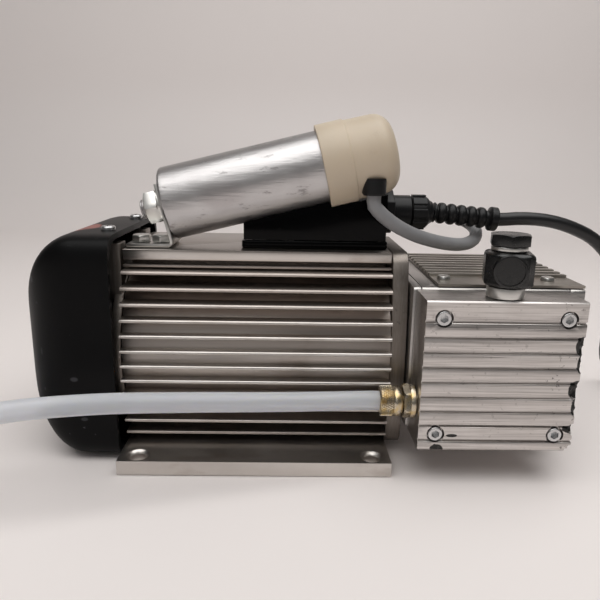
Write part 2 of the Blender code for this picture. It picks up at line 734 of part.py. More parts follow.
def fan_cover():
    bm = bmesh.new()
    skins = []
    for inset in (0.0, COVER_WALL):
        rings = []
        for x, draw in cover_stations(inset):
            rings.append([bm.verts.new((x, y, z)) for y, z in cover_ring(inset, draw)])
        skins.append(rings)
    for rings in skins:
        for one, two in zip(rings, rings[1:]):
            for i in range(len(one)):
                after = (i + 1) % len(one)
                bm.faces.new((one[i], one[after], two[after], two[i]))
        bm.faces.new(rings[-1])
    outer, inner = skins[0][0], skins[1][0]
    for i in range(len(outer)):
        after = (i + 1) % len(outer)
        bm.faces.new((outer[i], outer[after], inner[after], inner[i]))
    cover = finish_object("fan_cover", bm, black_plastic())
    holes = bmesh.new()
    middle = (COVER_BOTTOM + COVER_BOTTOM_DRAW + COVER_TOP - COVER_TOP_DRAW) / 2
    end = COVER_RIM - COVER_LENGTH
    for i in range(COVER_SLOTS):
        z = middle + (i - (COVER_SLOTS - 1) / 2) * 5.2
        outline = rounded_rectangle(-17, 17, z - 1.4, z + 1.4, 1.3, 3)
        add_prism(holes, outline, "X", end - 2, end + COVER_WALL + 3)
    for y in (-COVER_SCREW_Y, COVER_SCREW_Y):
        add_rod(holes, M3_RADIUS + RUN, "Z", (COVER_RIM - COVER_SCREW_INSET, y), COVER_TOP - 6, COVER_TOP + 2, 16)
    return cut(cover, holes)


def fan_cover_screws():
    for number, y in enumerate((-COVER_SCREW_Y, COVER_SCREW_Y), 1):
        bm = bmesh.new()
        seat = COVER_TOP + 0.1
        profile = [(0, COVER_TOP - 12), (M3_RADIUS - 0.1, COVER_TOP - 12), (M3_RADIUS - 0.1, seat)]
        profile += [(2.9, seat), (2.9, seat + 1.1), (2.2, seat + 1.9), (0, seat + 1.9)]
        add_turned(bm, profile, "Z", (COVER_RIM - COVER_SCREW_INSET, y), 20)
        finish_object(f"fan_cover_screw_{number}", bm, zinc())


# ---- pump head -----------------------------------------------------------------------------------
def pump_block(bm, start, end):
    outline = rounded_rectangle(PUMP_FRONT, PUMP_BACK, PUMP_BOTTOM, PUMP_TOP, 1.5, 3)
    add_prism(bm, outline, "X", start, end)


def pump_inner_cover():
    bm = bmesh.new()
    pump_block(bm, PUMP_START, PUMP_START + INNER_COVER_THICKNESS)
    cover = finish_object("pump_inner_cover", bm, aluminium())
    hole = bmesh.new()
    add_rod(hole, 5 + RUN, "X", (0.0, SHAFT_HEIGHT), PUMP_START - 1, CYLINDER_START + 1, 32)
    return cut(cover, hole)


def port_places():
    """Where the inlet and the outlet cross from the filter box into the cylinder, as (X, Z)."""
    middles = [(a + b) / 2 for a, b in BOX_POCKETS]
    return (middles[0], INLET_HEIGHT), (middles[1], OUTLET_HEIGHT)


def box_screw_places():
    inset = BOX_SCREW_INSET
    return [(x, z) for z in (BOX_TOP - inset, BOX_BOTTOM + inset) for x in (BOX_START + inset, BOX_END - inset)]


def cooling_screw_places():
    y = COOLING_PLATE_FRONT + 1.5 * COOLING_RIB_PITCH + 1.2
    return (COOLING_PLATE_START + 4.6, y), (PUMP_END - OUTER_COVER_THICKNESS - 5.0, y)


def pump_cylinder():
    """The body with the off-centre bore that the vanes sweep."""
    bm = bmesh.new()
    pump_block(bm, CYLINDER_START, CYLINDER_END)
    body = finish_object("pump_cylinder", bm, aluminium())
    holes = bmesh.new()
    add_rod(holes, CYLINDER_RADIUS, "X", (0.0, BORE_HEIGHT), CYLINDER_START - 1, CYLINDER_END + 1, 72)
    cut(body, holes)
    ports = bmesh.new()
    for place in port_places():
        add_rod(ports, PORT_RADIUS, "Y", place, PUMP_FRONT - 1, -13.0, 20)
    for place in box_screw_places():
        add_rod(ports, M3_RADIUS + RUN, "Y", place, PUMP_FRONT - 1, PUMP_FRONT + 9.5, 16)
    for place in cooling_screw_places():
        add_rod(ports, M3_RADIUS + RUN, "Z", place, PUMP_TOP - 6, PUMP_TOP + 1, 16)
    return cut(body, ports)


def pump_outer_cover():
    bm = bmesh.new()
    pump_block(bm, CYLINDER_END + GAP, PUMP_END)
    cover = finish_object("pump_outer_cover", bm, aluminium())
    hole = bmesh.new()
    add_rod(hole, 5 + RUN, "X", (0.0, SHAFT_HEIGHT), CYLINDER_END - 1, PUMP_END - 1.2, 40)
    return cut(cover, hole)


def vane_angles():
    """Angles about +X from +Y. The bore is closest to the rotor at 90 degrees, straight up."""
    return [radians(90 + VANE_FIRST_ANGLE + 360 / VANE_COUNT * i) for i in range(VANE_COUNT)]


def turned_outline(outline, angle):
    """An outline drawn along +Y, turned about the shaft."""
    return [(a * cos(angle) - b * sin(angle), a * sin(angle) + b * cos(angle)) for a, b in outline]


def pump_rotor(parent):
    start, end = CYLINDER_START + GAP, CYLINDER_END - GAP
    bm = bmesh.new()
    add_tube(bm, 5.1, ROTOR_RADIUS, "X", (0.0, 0.0), start, end, 64)
    rotor = finish_object("pump_rotor", bm, steel(), parent)
    slots = bmesh.new()
    half = VANE_THICKNESS / 2 + 0.1
    bottom = ROTOR_RADIUS - VANE_RECESS - VANE_HEIGHT - 0.35
    for angle in vane_angles():
        outline = turned_outline(rectangle(bottom, ROTOR_RADIUS + 2, -half, half), angle)
        add_prism(slots, outline, "X", start - 1, end + 1)
    cut(rotor, slots)
    keyway = bmesh.new()
    half = KEY_SIZE / 2 + 0.1
    add_box(keyway, (start - 1, -half, -5 - 1.5), (end + 1, half, -3))
    return cut(rotor, keyway)


def vanes(parent):
    """Each vane is flush at rest and slides out along its slot."""
    start, end = CYLINDER_START + 2 * GAP, CYLINDER_END - 2 * GAP
    outer = ROTOR_RADIUS - VANE_RECESS
    half = VANE_THICKNESS / 2
    for number, angle in enumerate(vane_angles(), 1):
        empty = axis_empty(f"vane_axis_{number}", (0.0, 0.0, 0.0), parent)
        empty.rotation_euler = Euler((angle, 0.0, 0.0))
        outline = [(outer - VANE_HEIGHT, -half), (outer - 0.3, -half), (outer, -half + 0.5)]
        outline += [(outer, half - 0.5), (outer - 0.3, half), (outer - VANE_HEIGHT, half)]
        bm = bmesh.new()
        add_prism(bm, outline, "X", start, end)
        finish_object(f"vane_{number}", bm, carbon(), empty)


def cooling_plate():
    """The ribbed plate on top of the pump head. The rib nearest the front is the wide one."""
    low = PUMP_TOP + GAP
    high = low + COOLING_PLATE_THICKNESS
    bm = bmesh.new()
    add_box(bm, (COOLING_PLATE_START, COOLING_PLATE_FRONT, low), (PUMP_END, COOLING_PLATE_BACK, high))
    plate = finish_object("cooling_plate", bm, aluminium())
    tools = bmesh.new()
    for i in range(COOLING_RIBS):
        y = COOLING_PLATE_FRONT + 7.6 + i * COOLING_RIB_PITCH
        floor = high - COOLING_GROOVE_DEPTH
        add_box(tools, (COOLING_PLATE_START - 1, y, floor), (PUMP_END + 1, y + COOLING_GROOVE_WIDTH, high + 1))
    cut(plate, tools)
    holes = bmesh.new()
    for place in cooling_screw_places():
        step = high - COOLING_GROOVE_DEPTH - 0.1
        profile = [(0, low - 1), (M3_RADIUS + RUN, low - 1), (M3_RADIUS + RUN, step)]
        profile += [(2.75 + RUN, step), (2.75 + RUN, high + 1), (0, high + 1)]
        add_turned(holes, profile, "Z", place, 20)
    return cut(plate, holes)


def cooling_plate_screws():
    top = PUMP_TOP + GAP + COOLING_PLATE_THICKNESS
    for number, place in enumerate(cooling_screw_places(), 1):
        bm = bmesh.new()
        seat = top - COOLING_GROOVE_DEPTH + 0.2
        profile = [(0, PUMP_TOP - 5), (M3_RADIUS - 0.1, PUMP_TOP - 5), (M3_RADIUS - 0.1, seat)]
        profile += [(2.75, seat), (2.75, seat + 1.0), (2.3, seat + 1.4), (0, seat + 1.4)]
        add_turned(bm, profile, "Z", place, 20)
        finish_object(f"cooling_plate_screw_{number}", bm, zinc())


# ---- filter box ----------------------------------------------------------------------------------
def filter_box():
    """A block with a grooved face and two pockets from behind: the left one takes in, the right one lets out."""
    bm = bmesh.new()
    add_box(bm, (BOX_START, BOX_FRONT, BOX_BOTTOM), (BOX_END, BOX_BACK, BOX_TOP))
    box = finish_object("filter_box", bm, aluminium())
    grooves = bmesh.new()
    for i in range(BOX_GROOVES):
        z = BOX_TOP - BOX_TOP_STRIP - i * BOX_GROOVE_PITCH
        half = BOX_GROOVE_WIDTH / 2
        add_box(grooves, (BOX_START - 1, BOX_FRONT - 1, z - half), (BOX_END + 1, BOX_FRONT + BOX_GROOVE_DEPTH, z + half))
    cut(box, grooves)
    holes = bmesh.new()
    front = BOX_FRONT + BOX_WALL
    for start, end in BOX_POCKETS:
        add_box(holes, (start, front, BOX_BOTTOM + BOX_WALL), (end, BOX_BACK + 1, BOX_TOP - BOX_WALL))
    for place in box_screw_places():
        deep = BOX_FRONT + BOX_COUNTERBORE_DEPTH
        profile = [(0, BOX_FRONT - 1), (BOX_COUNTERBORE_RADIUS, BOX_FRONT - 1), (BOX_COUNTERBORE_RADIUS, deep)]
        profile += [(M3_RADIUS + RUN, deep), (M3_RADIUS + RUN, BOX_BACK + 1), (0, BOX_BACK + 1)]
        add_turned(holes, profile, "Y", place, 20)
    cut(box, holes)
    ports = bmesh.new()
    add_rod(ports, INLET_THREAD_RADIUS + RUN, "X", (INLET_Y, INLET_Z), BOX_START - 1, BOX_POCKETS[0][0] + 2, 24)
    add_rod(ports, BANJO_BOLT_RADIUS + RUN, "Z", (BANJO_X, BANJO_Y), BOX_TOP - BOX_WALL - 2, BOX_TOP + 1, 24)
    return cut(box, ports)


def filter_gasket():
    back = PUMP_FRONT - GAP
    front = back - GASKET_THICKNESS
    bm = bmesh.new()
    outline = rectangle(BOX_START + 1, BOX_END - 1, BOX_BOTTOM + 1, BOX_TOP - 1)
    add_prism(bm, outline, "Y", front, back)
    gasket = finish_object("filter_gasket", bm, rubber())
    holes = bmesh.new()
    for start, end in BOX_POCKETS:
        outline = rectangle(start, end, BOX_BOTTOM + BOX_WALL, BOX_TOP - BOX_WALL)
        add_prism(holes, outline, "Y", front - 1, back + 1)
    for place in box_screw_places():
        add_rod(holes, M3_RADIUS + RUN, "Y", place, front - 1, back + 1, 16)
    return cut(gasket, holes)


def filter_element():
    start, end = BOX_POCKETS[0]
    low, high = BOX_BOTTOM + BOX_WALL + GAP, BOX_TOP - BOX_WALL - GAP
    bm = bmesh.new()
    add_box(bm, (start + GAP, BOX_FRONT + BOX_WALL + GAP, low), (end - GAP, BOX_BACK - 1, high))
    return finish_object("filter_element", bm, felt())


def filter_screws():
    """Socket-head screws through the box into the cylinder body."""
    seat = BOX_FRONT + BOX_COUNTERBORE_DEPTH - 0.15
    for number, place in enumerate(box_screw_places(), 1):
        bm = bmesh.new()
        face = seat - BOX_SCREW_HEAD_LENGTH
        head = BOX_SCREW_HEAD_RADIUS
        profile = [(0, face), (head - 0.3, face), (head, face + 0.3), (head, seat), (M3_RADIUS - 0.1, seat)]
        profile += [(M3_RADIUS - 0.1, PUMP_FRONT + 8.5), (0, PUMP_FRONT + 8.5)]
        add_turned(bm, profile, "Y", place, 20)
        screw = finish_object(f"filter_screw_{number}", bm, steel())
        socket = bmesh.new()
        add_prism(socket, polygon(2.5, centre=place), "Y", face - 1, face + 1.5)
        cut(screw, socket)


# ---- banjo fitting -------------------------------------------------------------------------------
def banjo_levels():
    """The heights at which each piece of the banjo stack begins."""
    collar = BOX_TOP + GAP
    body = collar + BANJO_COLLAR["height"] + GAP
    washer = body + BANJO_BODY["height"] + GAP
    head = washer + BANJO_WASHER["height"] + GAP
    return collar, body, washer, head


def banjo_ring(name, radius, start, height, finish):
    bm = bmesh.new()
    inner = BANJO_BOLT_RADIUS + GAP
    profile = [(inner, start), (radius - 0.3, start), (radius, start + 0.3), (radius, start + height - 0.3)]
    profile += [(radius - 0.3, start + height), (inner, start + height)]
    add_turned(bm, profile, "Z", (BANJO_X, BANJO_Y), 32)
    return finish_object(name, bm, finish)


def banjo_body():
    """A block with clipped corners and a round port that looks forward."""
    _, low, _, _ = banjo_levels()
    high = low + BANJO_BODY["height"]
    half = BANJO_BODY["width"] / 2
    clip = 5.0
    outline = [(-half, -half + clip), (-half + clip, -half), (half - 2, -half), (half, -half + 2)]
    outline += [(half, half - clip), (half - clip, half), (-half + clip, half), (-half, half - clip)]
    bm = bmesh.new()
    add_prism(bm, outline, "Z", low, high)
    edges = [e for e in bm.edges if abs(e.verts[0].co.z - e.verts[1].co.z) < 1e-6]
    bmesh.ops.bevel(bm, geom=edges, offset=1.6, segments=1, affect="EDGES")
    turn = Matrix.Translation((BANJO_X, BANJO_Y, 0)) @ Matrix.Rotation(radians(BANJO_TURN), 4, "Z")
    move(bm, turn)
    body = finish_object("banjo_body", bm, black_plastic())
    holes = bmesh.new()
    add_rod(holes, BANJO_BOLT_RADIUS + GAP, "Z", (0, 0), low - 1, high + 1, 32)
    move(holes, turn)
    cut(body, holes)
    port = bmesh.new()
    add_rod(port, BANJO_PORT_RADIUS, "Y", (0.8, (low + high) / 2), -half - 1, -half + 4.0, 32)
    move(port, turn)
    return cut(body, port)


def banjo_bolt():
    _, _, _, head = banjo_levels()
    bm = bmesh.new()
    add_prism(bm, polygon(BANJO_HEX, centre=(BANJO_X, BANJO_Y), phase=0.25), "Z", head, head + BANJO_HEX_HEIGHT)
    bolt = finish_object("banjo_bolt", bm, black_plastic())
    shank = bmesh.new()
    add_rod(shank, BANJO_BOLT_RADIUS, "Z", (BANJO_X, BANJO_Y), BOX_TOP - BOX_WALL, head + 1, 32)
    return join(bolt, shank)


# ---- hose fitting --------------------------------------------------------------------------------
def hose_fitting():
    flange = BOX_START - GAP
    hexagon = flange - INLET_FLANGE_LENGTH
    spigot = hexagon - INLET_HEX_LENGTH
    end = spigot - GAP - HOSE_NUT_LENGTH + 1
    bm = bmesh.new()
    profile = [(0, end), (HOSE_BORE_RADIUS - 0.6, end), (HOSE_BORE_RADIUS, end + 1.5), (HOSE_BORE_RADIUS, hexagon)]
    profile += [(INLET_FLANGE_RADIUS, hexagon), (INLET_FLANGE_RADIUS, flange), (INLET_THREAD_RADIUS, flange)]
    profile += [(INLET_THREAD_RADIUS, BOX_POCKETS[0][0]), (0, BOX_POCKETS[0][0])]
    add_turned(bm, profile, "X", (INLET_Y, INLET_Z), 32)
    fitting = finish_object("hose_fitting", bm, nickel())
    flats = bmesh.new()
    add_prism(flats, polygon(INLET_HEX, centre=(INLET_Y, INLET_Z), phase=0.3), "X", spigot, hexagon + 0.5)
    join(fitting, flats)
    return fitting


def hose_nut():
    """A round nut with fluted sides that clamps the hose on the spigot."""
    end = BOX_START - GAP - INLET_FLANGE_LENGTH - INLET_HEX_LENGTH - GAP
    start = end - HOSE_NUT_LENGTH
    outline = []
    for i in range(2 * HOSE_NUT_FLUTES):
        angle = pi * i / HOSE_NUT_FLUTES
        radius = HOSE_NUT_RADIUS - (0.35 if i % 2 else 0.0)
        outline.append((INLET_Y + radius * cos(angle), INLET_Z + radius * sin(angle)))
    bm = bmesh.new()
    add_prism(bm, outline, "X", start, end)
    nut = finish_object("hose_nut", bm, nickel())
    hole = bmesh.new()
    add_rod(hole, HOSE_BORE_RADIUS + 0.5, "X", (INLET_Y, INLET_Z), start - 1, end + 1, 24)
    return cut(nut, hole)


# ---- terminal box --------------------------------------------------------------------------------
def terminal_box_base():
    low = MOTOR_TOP + GAP
    bm = bmesh.new()
    outline = rounded_rectangle(TERMINAL_START, TERMINAL_END, TERMINAL_FRONT, TERMINAL_BACK, 1.5, 3)
    add_prism(bm, outline, "Z", low, low + TERMINAL_RIM_HEIGHT)
    base = finish_object("terminal_box_base", bm, black_gloss())
    hollow = bmesh.new()
    wall = LID_INSET + LID_WALL
    a, b = TERMINAL_START + wall, TERMINAL_END - wall
    c, d = TERMINAL_FRONT + wall, TERMINAL_BACK - wall
    add_box(hollow, (a, c, low + 1.6), (b, d, low + TERMINAL_RIM_HEIGHT + 1))
    return cut(base, hollow)


def lid_top(x):
    """The lid's top slopes up with the capacitor."""
    start, end = TERMINAL_START + LID_INSET, TERMINAL_END - LID_INSET
    return LID_LOW_TOP + (LID_HIGH_TOP - LID_LOW_TOP) * (x - start) / (end - start)


def lid_outline(inset, drop):
    start = TERMINAL_START + LID_INSET + inset
    end = TERMINAL_END - LID_INSET - inset
    return [(start, LID_BOTTOM), (end, LID_BOTTOM), (end, lid_top(end) - drop), (start, lid_top(start) - drop)]


def terminal_box_lid():
    """A hollow lid whose top carries a trough for the capacitor."""
    front, back = TERMINAL_FRONT + LID_INSET, TERMINAL_BACK - LID_INSET
    bm = bmesh.new()
    add_prism(bm, lid_outline(0.0, 0.0), "Y", front, back)
    lid = finish_object("terminal_box_lid", bm, black_gloss())
    hollow = bmesh.new()
    outline = lid_outline(LID_WALL, 8.2)
    outline[0] = (outline[0][0], LID_BOTTOM - 1)
    outline[1] = (outline[1][0], LID_BOTTOM - 1)
    add_prism(hollow, outline, "Y", front + LID_WALL, back - LID_WALL)
    cut(lid, hollow)
    trough = bmesh.new()
    profile = [(0, 10), (CAN_RADIUS + 0.5, 10), (CAN_RADIUS + 0.5, CAP_START - 0.5)]
    profile += [(CAP_RADIUS + 0.5, CAP_START - 0.5), (CAP_RADIUS + 0.5, 110), (0, 110)]
    add_turned(trough, profile, "X", (0, 0), 48)
    move(trough, can_matrix())
    cut(lid, trough)
    holes = bmesh.new()
    end = TERMINAL_END - LID_INSET
    add_rod(holes, 6.0 + GAP, "X", (GLAND_Y, GLAND_Z), end - LID_WALL - 6, end + 1, 32)
    add_rod(holes, 4.2 + GAP, "X", (LEAD_GLAND_Y, LEAD_GLAND_Z), end - LID_WALL - 6, end + 1, 24)
    return cut(lid, holes)


def terminal_block():
    low = MOTOR_TOP + GAP + 1.6 + GAP
    middle = (TERMINAL_START + TERMINAL_END) / 2 + 8
    bm = bmesh.new()
    add_box(bm, (middle - 16, 6, low), (middle + 16, 17, low + 5))
    block = finish_object("terminal_block", bm, white_plastic())
    slots = bmesh.new()
    for i in range(5):
        x = middle + (i - 2) * 6
        add_box(slots, (x - 1.8, 5, low + 3), (x + 1.8, 18, low + 6))
    return cut(block, slots)


def mains_gland_body():
    """Fixed in the lid's end wall."""
    face, end = GLAND_FACE, GLAND_FACE + GLAND_LENGTH
    bm = bmesh.new()
    profile = [(0, face - LID_WALL - 5), (6.0, face - LID_WALL - 5), (6.0, face + 4), (7.4, face + 4)]
    profile += [(7.4, end), (0, end)]
    add_turned(bm, profile, "X", (GLAND_Y, GLAND_Z), 32)
    gland = finish_object("mains_gland_body", bm, black_plastic())
    flats = bmesh.new()
    add_prism(flats, polygon(GLAND_HEX, centre=(GLAND_Y, GLAND_Z)), "X", face, face + 5.6)
    return join(gland, flats)


def mains_gland_nut():
    start, end = GLAND_NUT_START, GLAND_NUT_START + GLAND_NUT_LENGTH
    bm = bmesh.new()
    radius = GLAND_NUT_RADIUS
    profile = [(0, start), (radius, start), (radius, end - 3), (radius - 1.2, end - 0.8), (4.4, end), (0, end)]
    add_turned(bm, profile, "X", (GLAND_Y, GLAND_Z), 24)
    nut = finish_object("mains_gland_nut", bm, black_plastic())
    flats = bmesh.new()
    add_prism(flats, polygon(2 * radius - 0.2, centre=(GLAND_Y, GLAND_Z), phase=0.5), "X", start, end - 3.6)
    return join(nut, flats)


def mains_bend_relief():
    """The ribbed sleeve that keeps the cable from kinking. It droops a little under the cable's weight."""
    step = (RELIEF_LENGTH - 5) / RELIEF_RIBS
    profile = [(0, 0), (3.6, 0)]
    for i in range(RELIEF_RIBS):
        a = 1.2 + i * step
        profile += [(3.6, a), (4.5, a + 0.8), (4.5, a + 2.2), (3.6, a + 3.0)]
    profile += [(3.8, RELIEF_LENGTH - 4.4), (5.4, RELIEF_LENGTH - 3.6), (5.4, RELIEF_LENGTH - 0.8)]
    profile += [(4.4, RELIEF_LENGTH), (0, RELIEF_LENGTH)]
    bm = bmesh.new()
    add_turned(bm, profile, "X", segments=16)
    start = GLAND_NUT_START + GLAND_NUT_LENGTH + 2 * GAP
    place = Matrix.Translation((start, GLAND_Y, GLAND_Z)) @ Matrix.Rotation(radians(RELIEF_SLOPE), 4, "Y")
    move(bm, place)
    return finish_object("mains_bend_relief", bm, black_plastic())


def lead_gland():
    face, end = GLAND_FACE, GLAND_FACE + LEAD_GLAND_LENGTH
    centre = (LEAD_GLAND_Y, LEAD_GLAND_Z)
    bm = bmesh.new()
    profile = [(0, face - LID_WALL - 4), (4.2, face - LID_WALL - 4), (4.2, face + 3), (5.5, face + 3)]
    profile += [(5.5, face + 9), (4.4, end), (0, end)]
    add_turned(bm, profile, "X", centre, 28)
    gland = finish_object("lead_gland", bm, black_plastic())
    flats = bmesh.new()
    add_prism(flats, polygon(LEAD_GLAND_HEX, centre=centre), "X", face, face + 4.2)
    return join(gland, flats)


# ---- capacitor -----------------------------------------------------------------------------------
def can_matrix():
    """Puts a shape turned about +X on the can's tilted axis, with its closed end at zero."""
    return Matrix.Translation(CAN_END) @ Matrix.Rotation(radians(-CAN_TILT), 4, "Y")


def capacitor_can():
    bm = bmesh.new()
    edge = 1.0
    profile = [(0, -13.5), (STUD_RADIUS - 0.5, -13.5), (STUD_RADIUS, -13), (STUD_RADIUS, 0), (CAN_RADIUS - edge, 0)]
    profile += [(CAN_RADIUS, edge), (CAN_RADIUS, CAN_LENGTH), (0, CAN_LENGTH)]
    add_turned(bm, profile, "X", segments=48)
    move(bm, can_matrix())
    return finish_object("capacitor_can", bm, aluminium())


def capacitor_cap():
    """A snap-on cap over the terminals, with a bush for the lead at its lower front."""
    end = CAP_START + CAP_LENGTH
    inner = CAN_RADIUS + GAP + 0.05
    profile = [(0, CAN_LENGTH + GAP), (inner, CAN_LENGTH + GAP), (inner, CAP_START), (CAP_RADIUS, CAP_START)]
    profile += [(CAP_RADIUS, CAP_START + CAP_BAND), (CAP_RADIUS - 0.5, CAP_START + CAP_BAND + 0.4)]
    corner = 7.5
    for i in range(6):
        angle = pi / 2 * i / 5
        profile.append((CAP_RADIUS - 0.8 - corner * (1 - cos(angle)), end - corner * (1 - sin(angle))))
    profile.append((0, end + 0.5))
    bm = bmesh.new()
    add_turned(bm, profile, "X", segments=40)
    move(bm, can_matrix())
    cap = finish_object("capacitor_cap", bm, cream_plastic())
    bush = bmesh.new()
    add_rod(bush, 4.4, "Z", CAP_BUSH, CAP_BUSH_BOTTOM, CAP_BUSH_BOTTOM + 8, 20)
    return join(cap, bush)


def capacitor_strap():
    """Bent from one strip: the outline runs down the far face and back up the near one."""
    floor = MOTOR_TOP + GAP
    tilt = radians(CAN_TILT)
    along = Vector((cos(tilt), sin(tilt)))
    up = Vector((-sin(tilt), cos(tilt)))
    end = Vector((CAN_END[0], CAN_END[2]))
    right = end - along * GAP
    left = right - along * STRAP_THICKNESS
    top_right, top_left = right + up * 9.0, left + up * 9.0
    low_right, low_left = right - up * 13.4, left - up * 13.2
    bend = low_right.x + 0.3
    outline = [top_right, low_right, Vector((bend, floor + 2.4)), Vector((bend - 0.5, floor + 0.6))]
    outline += [Vector((bend - 1.4, floor)), Vector((STRAP_FOOT_END, floor))]
    outline += [Vector((STRAP_FOOT_END, floor + STRAP_THICKNESS))]
    outline += [Vector((bend - 1.9, floor + STRAP_THICKNESS)), Vector((bend - STRAP_THICKNESS, floor + 2.6))]
    outline += [low_left, top_left]
    bm = bmesh.new()
    middle = CAN_END[1]
    half = STRAP_WIDTH / 2
    add_prism(bm, [tuple(p) for p in outline], "Y", middle - half, middle + half)
    strap = finish_object("capacitor_strap", bm, zinc())
    holes = bmesh.new()
    add_rod(holes, STUD_RADIUS + RUN, "X", (0, 0), -6, 6, 24)
    move(holes, can_matrix())
    for x in STRAP_SCREWS_X:
        add_rod(holes, 2.0 + RUN, "Z", (x, STRAP_SCREWS_Y), floor - 1, floor + STRAP_THICKNESS + 1, 16)
    return cut(strap, holes)


def capacitor_nut():
    """The stud nut with its washer in one piece."""
    seat = -(GAP + STRAP_THICKNESS + GAP)
    bm = bmesh.new()
    add_prism(bm, polygon(STUD_NUT, phase=0.0), "X", seat - 1.2 - STUD_NUT_HEIGHT, seat - 1.0)
    move(bm, can_matrix())
    nut = finish_object("capacitor_nut", bm, zinc())
    washer = bmesh.new()
    add_rod(washer, 7.6, "X", (0, 0), seat - 1.2, seat, 32)
    move(washer, can_matrix())
    join(nut, washer)
    hole = bmesh.new()
    add_rod(hole, STUD_RADIUS + RUN, "X", (0, 0), seat - 12, 3, 24)
    move(hole, can_matrix())
    return cut(nut, hole)


def strap_screws():
    seat = MOTOR_TOP + 2 * GAP + STRAP_THICKNESS
    for number, x in enumerate(STRAP_SCREWS_X, 1):
        bm = bmesh.new()
        add_prism(bm, polygon(7.0, centre=(x, STRAP_SCREWS_Y)), "Z", seat, seat + 2.8)
        screw = finish_object(f"strap_screw_{number}", bm, zinc())
        shank = bmesh.new()
        low = MOTOR_TOP - TOP_PLATE_THICKNESS + 0.5
        add_rod(shank, 1.9, "Z", (x, STRAP_SCREWS_Y), low, seat + 1, 16)
        join(screw, shank)


# ---- cords ---------------------------------------------------------------------------------------
def smooth_route(route, spacing):
    """Evenly spaced points read from one smooth curve through the route's own points."""
    points = [Vector(p) for p in route]
    ends = [points[0] * 2 - points[1]] + points + [points[-1] * 2 - points[-2]]
    dense = []
    for before, one, two, after in zip(ends, ends[1:], ends[2:], ends[3:]):
        for i in range(24):
            t = i / 24
            a = 2 * one + (two - before) * t
            b = (2 * before - 5 * one + 4 * two - after) * t**2
            c = (3 * one - before - 3 * two + after) * t**3
            dense.append((a + b + c) / 2)
    dense.append(points[-1])
    lengths = [0.0]
    for one, two in zip(dense, dense[1:]):
        lengths.append(lengths[-1] + (two - one).length)
    count = max(2, round(lengths[-1] / spacing))
    found = []
    k = 0
    for i in range(count + 1):
        want = lengths[-1] * i / count
        while k < len(lengths) - 2 and lengths[k + 1] < want:
            k += 1
        share = (want - lengths[k]) / (lengths[k + 1] - lengths[k])
        found.append(dense[k].lerp(dense[k + 1], share))
    return found


def cord(name, route, diameter, finish, spacing=2.2):
    curve = bpy.data.curves.new(name, "CURVE")
    curve.dimensions = "3D"
    curve.bevel_depth = diameter / 2 * MM
    curve.bevel_resolution = 3
    curve.use_fill_caps = True
    spline = curve.splines.new("POLY")
    points = smooth_route(route, spacing * diameter)
    spline.points.add(len(points) - 1)
    for point, place in zip(spline.points, points):
        point.co = (*(place * MM), 1.0)
    curve.materials.append(finish)
    obj = bpy.data.objects.new(name, curve)
    bpy.context.scene.collection.objects.link(obj)
    return obj


def coil(name, size, diameter, finish):
    """The outer shape of a wound coil that lies on the ground."""
    half = size["across"] * diameter / 2
    inner, outer = size["mean"] - half, size["mean"] + half
    top = GAP + size["high"] * diameter
    soft = diameter * 0.3
    profile = [(inner, GAP + soft), (inner + soft, GAP), (outer - soft, GAP), (outer, GAP + soft)]
    profile += [(outer, top - soft), (outer - soft, top), (inner + soft, top), (inner, top - soft)]
    bm = bmesh.new()
    add_turned(bm, profile, "Z", size["centre"], 40)
    return finish_object(name, bm, finish)


def mains_plug():
    """A moulded two-pin plug on its side by the coil, where the last turn leaves it."""
    size = CABLE_COIL
    outer = size["mean"] + size["across"] * CABLE_DIAMETER / 2
    last = outer - CABLE_DIAMETER / 2
    reach = sqrt(outer**2 - (last - CABLE_DIAMETER / 2 - 1) ** 2)
    start = size["centre"][1] - reach - 2 * GAP
    x = size["centre"][0] + last
    z = PLUG_RADIUS + GAP
    body = start - PLUG_RELIEF
    face = body - PLUG_LENGTH
    profile = [(0, start), (CABLE_DIAMETER / 2 + 0.8, start), (6.5, body + 1), (12.0, body), (16.5, body - 4)]
    profile += [(PLUG_RADIUS, body - 10), (PLUG_RADIUS, face), (0, face)]
    bm = bmesh.new()
    add_turned(bm, profile, "Y", (x, z), 40)
    plug = finish_object("mains_plug", bm, black_plastic())
    pins = bmesh.new()
    for side in (-1, 1):
        centre = (x + side * PLUG_PIN_SPACING / 2, z)
        tip = face - PLUG_PIN_LENGTH
        profile = [(0, face + 2), (PLUG_PIN_RADIUS, face + 2), (PLUG_PIN_RADIUS, tip + 1.5), (1.2, tip), (0, tip)]
        add_turned(pins, profile, "Y", centre, 16)
    return join(plug, pins)


def build_motor(rotor):
    motor_housing()
    pump_end_flange()
    shaft_seal()
    fan_end_shield()
    stator_core()
    stator_winding()
    bearing_rings("fan_end", FAN_BEARING, SHIELD_INNER - 0.2, rotor)
    bearing_rings("pump_end", PUMP_BEARING, FLANGE_START - 0.3, rotor)
    motor_shaft(rotor)
    rotor_core(rotor)
    cooling_fan(rotor)
    fan_cover()
    fan_cover_screws()


def build_pump(rotor):
    pump_inner_cover()
    pump_cylinder()
    pump_outer_cover()
    pump_rotor(rotor)
    rotor_key(rotor)
    vanes(rotor)
    cooling_plate()
    cooling_plate_screws()
    filter_box()
    filter_gasket()
    filter_element()
    filter_screws()


def build_fittings():
    collar, _, washer, _ = banjo_levels()
    banjo_ring("banjo_collar", BANJO_COLLAR["radius"], collar, BANJO_COLLAR["height"], nickel())
    banjo_body()
    banjo_ring("banjo_washer", BANJO_WASHER["radius"], washer, BANJO_WASHER["height"], nickel())
    banjo_bolt()
    hose_fitting()
    hose_nut()


def build_electrics():
    terminal_box_base()
    terminal_box_lid()
    terminal_block()
    mains_gland_body()
    mains_gland_nut()
    mains_bend_relief()
    lead_gland()
    capacitor_can()
    capacitor_cap()
    capacitor_strap()
    capacitor_nut()
    strap_screws()


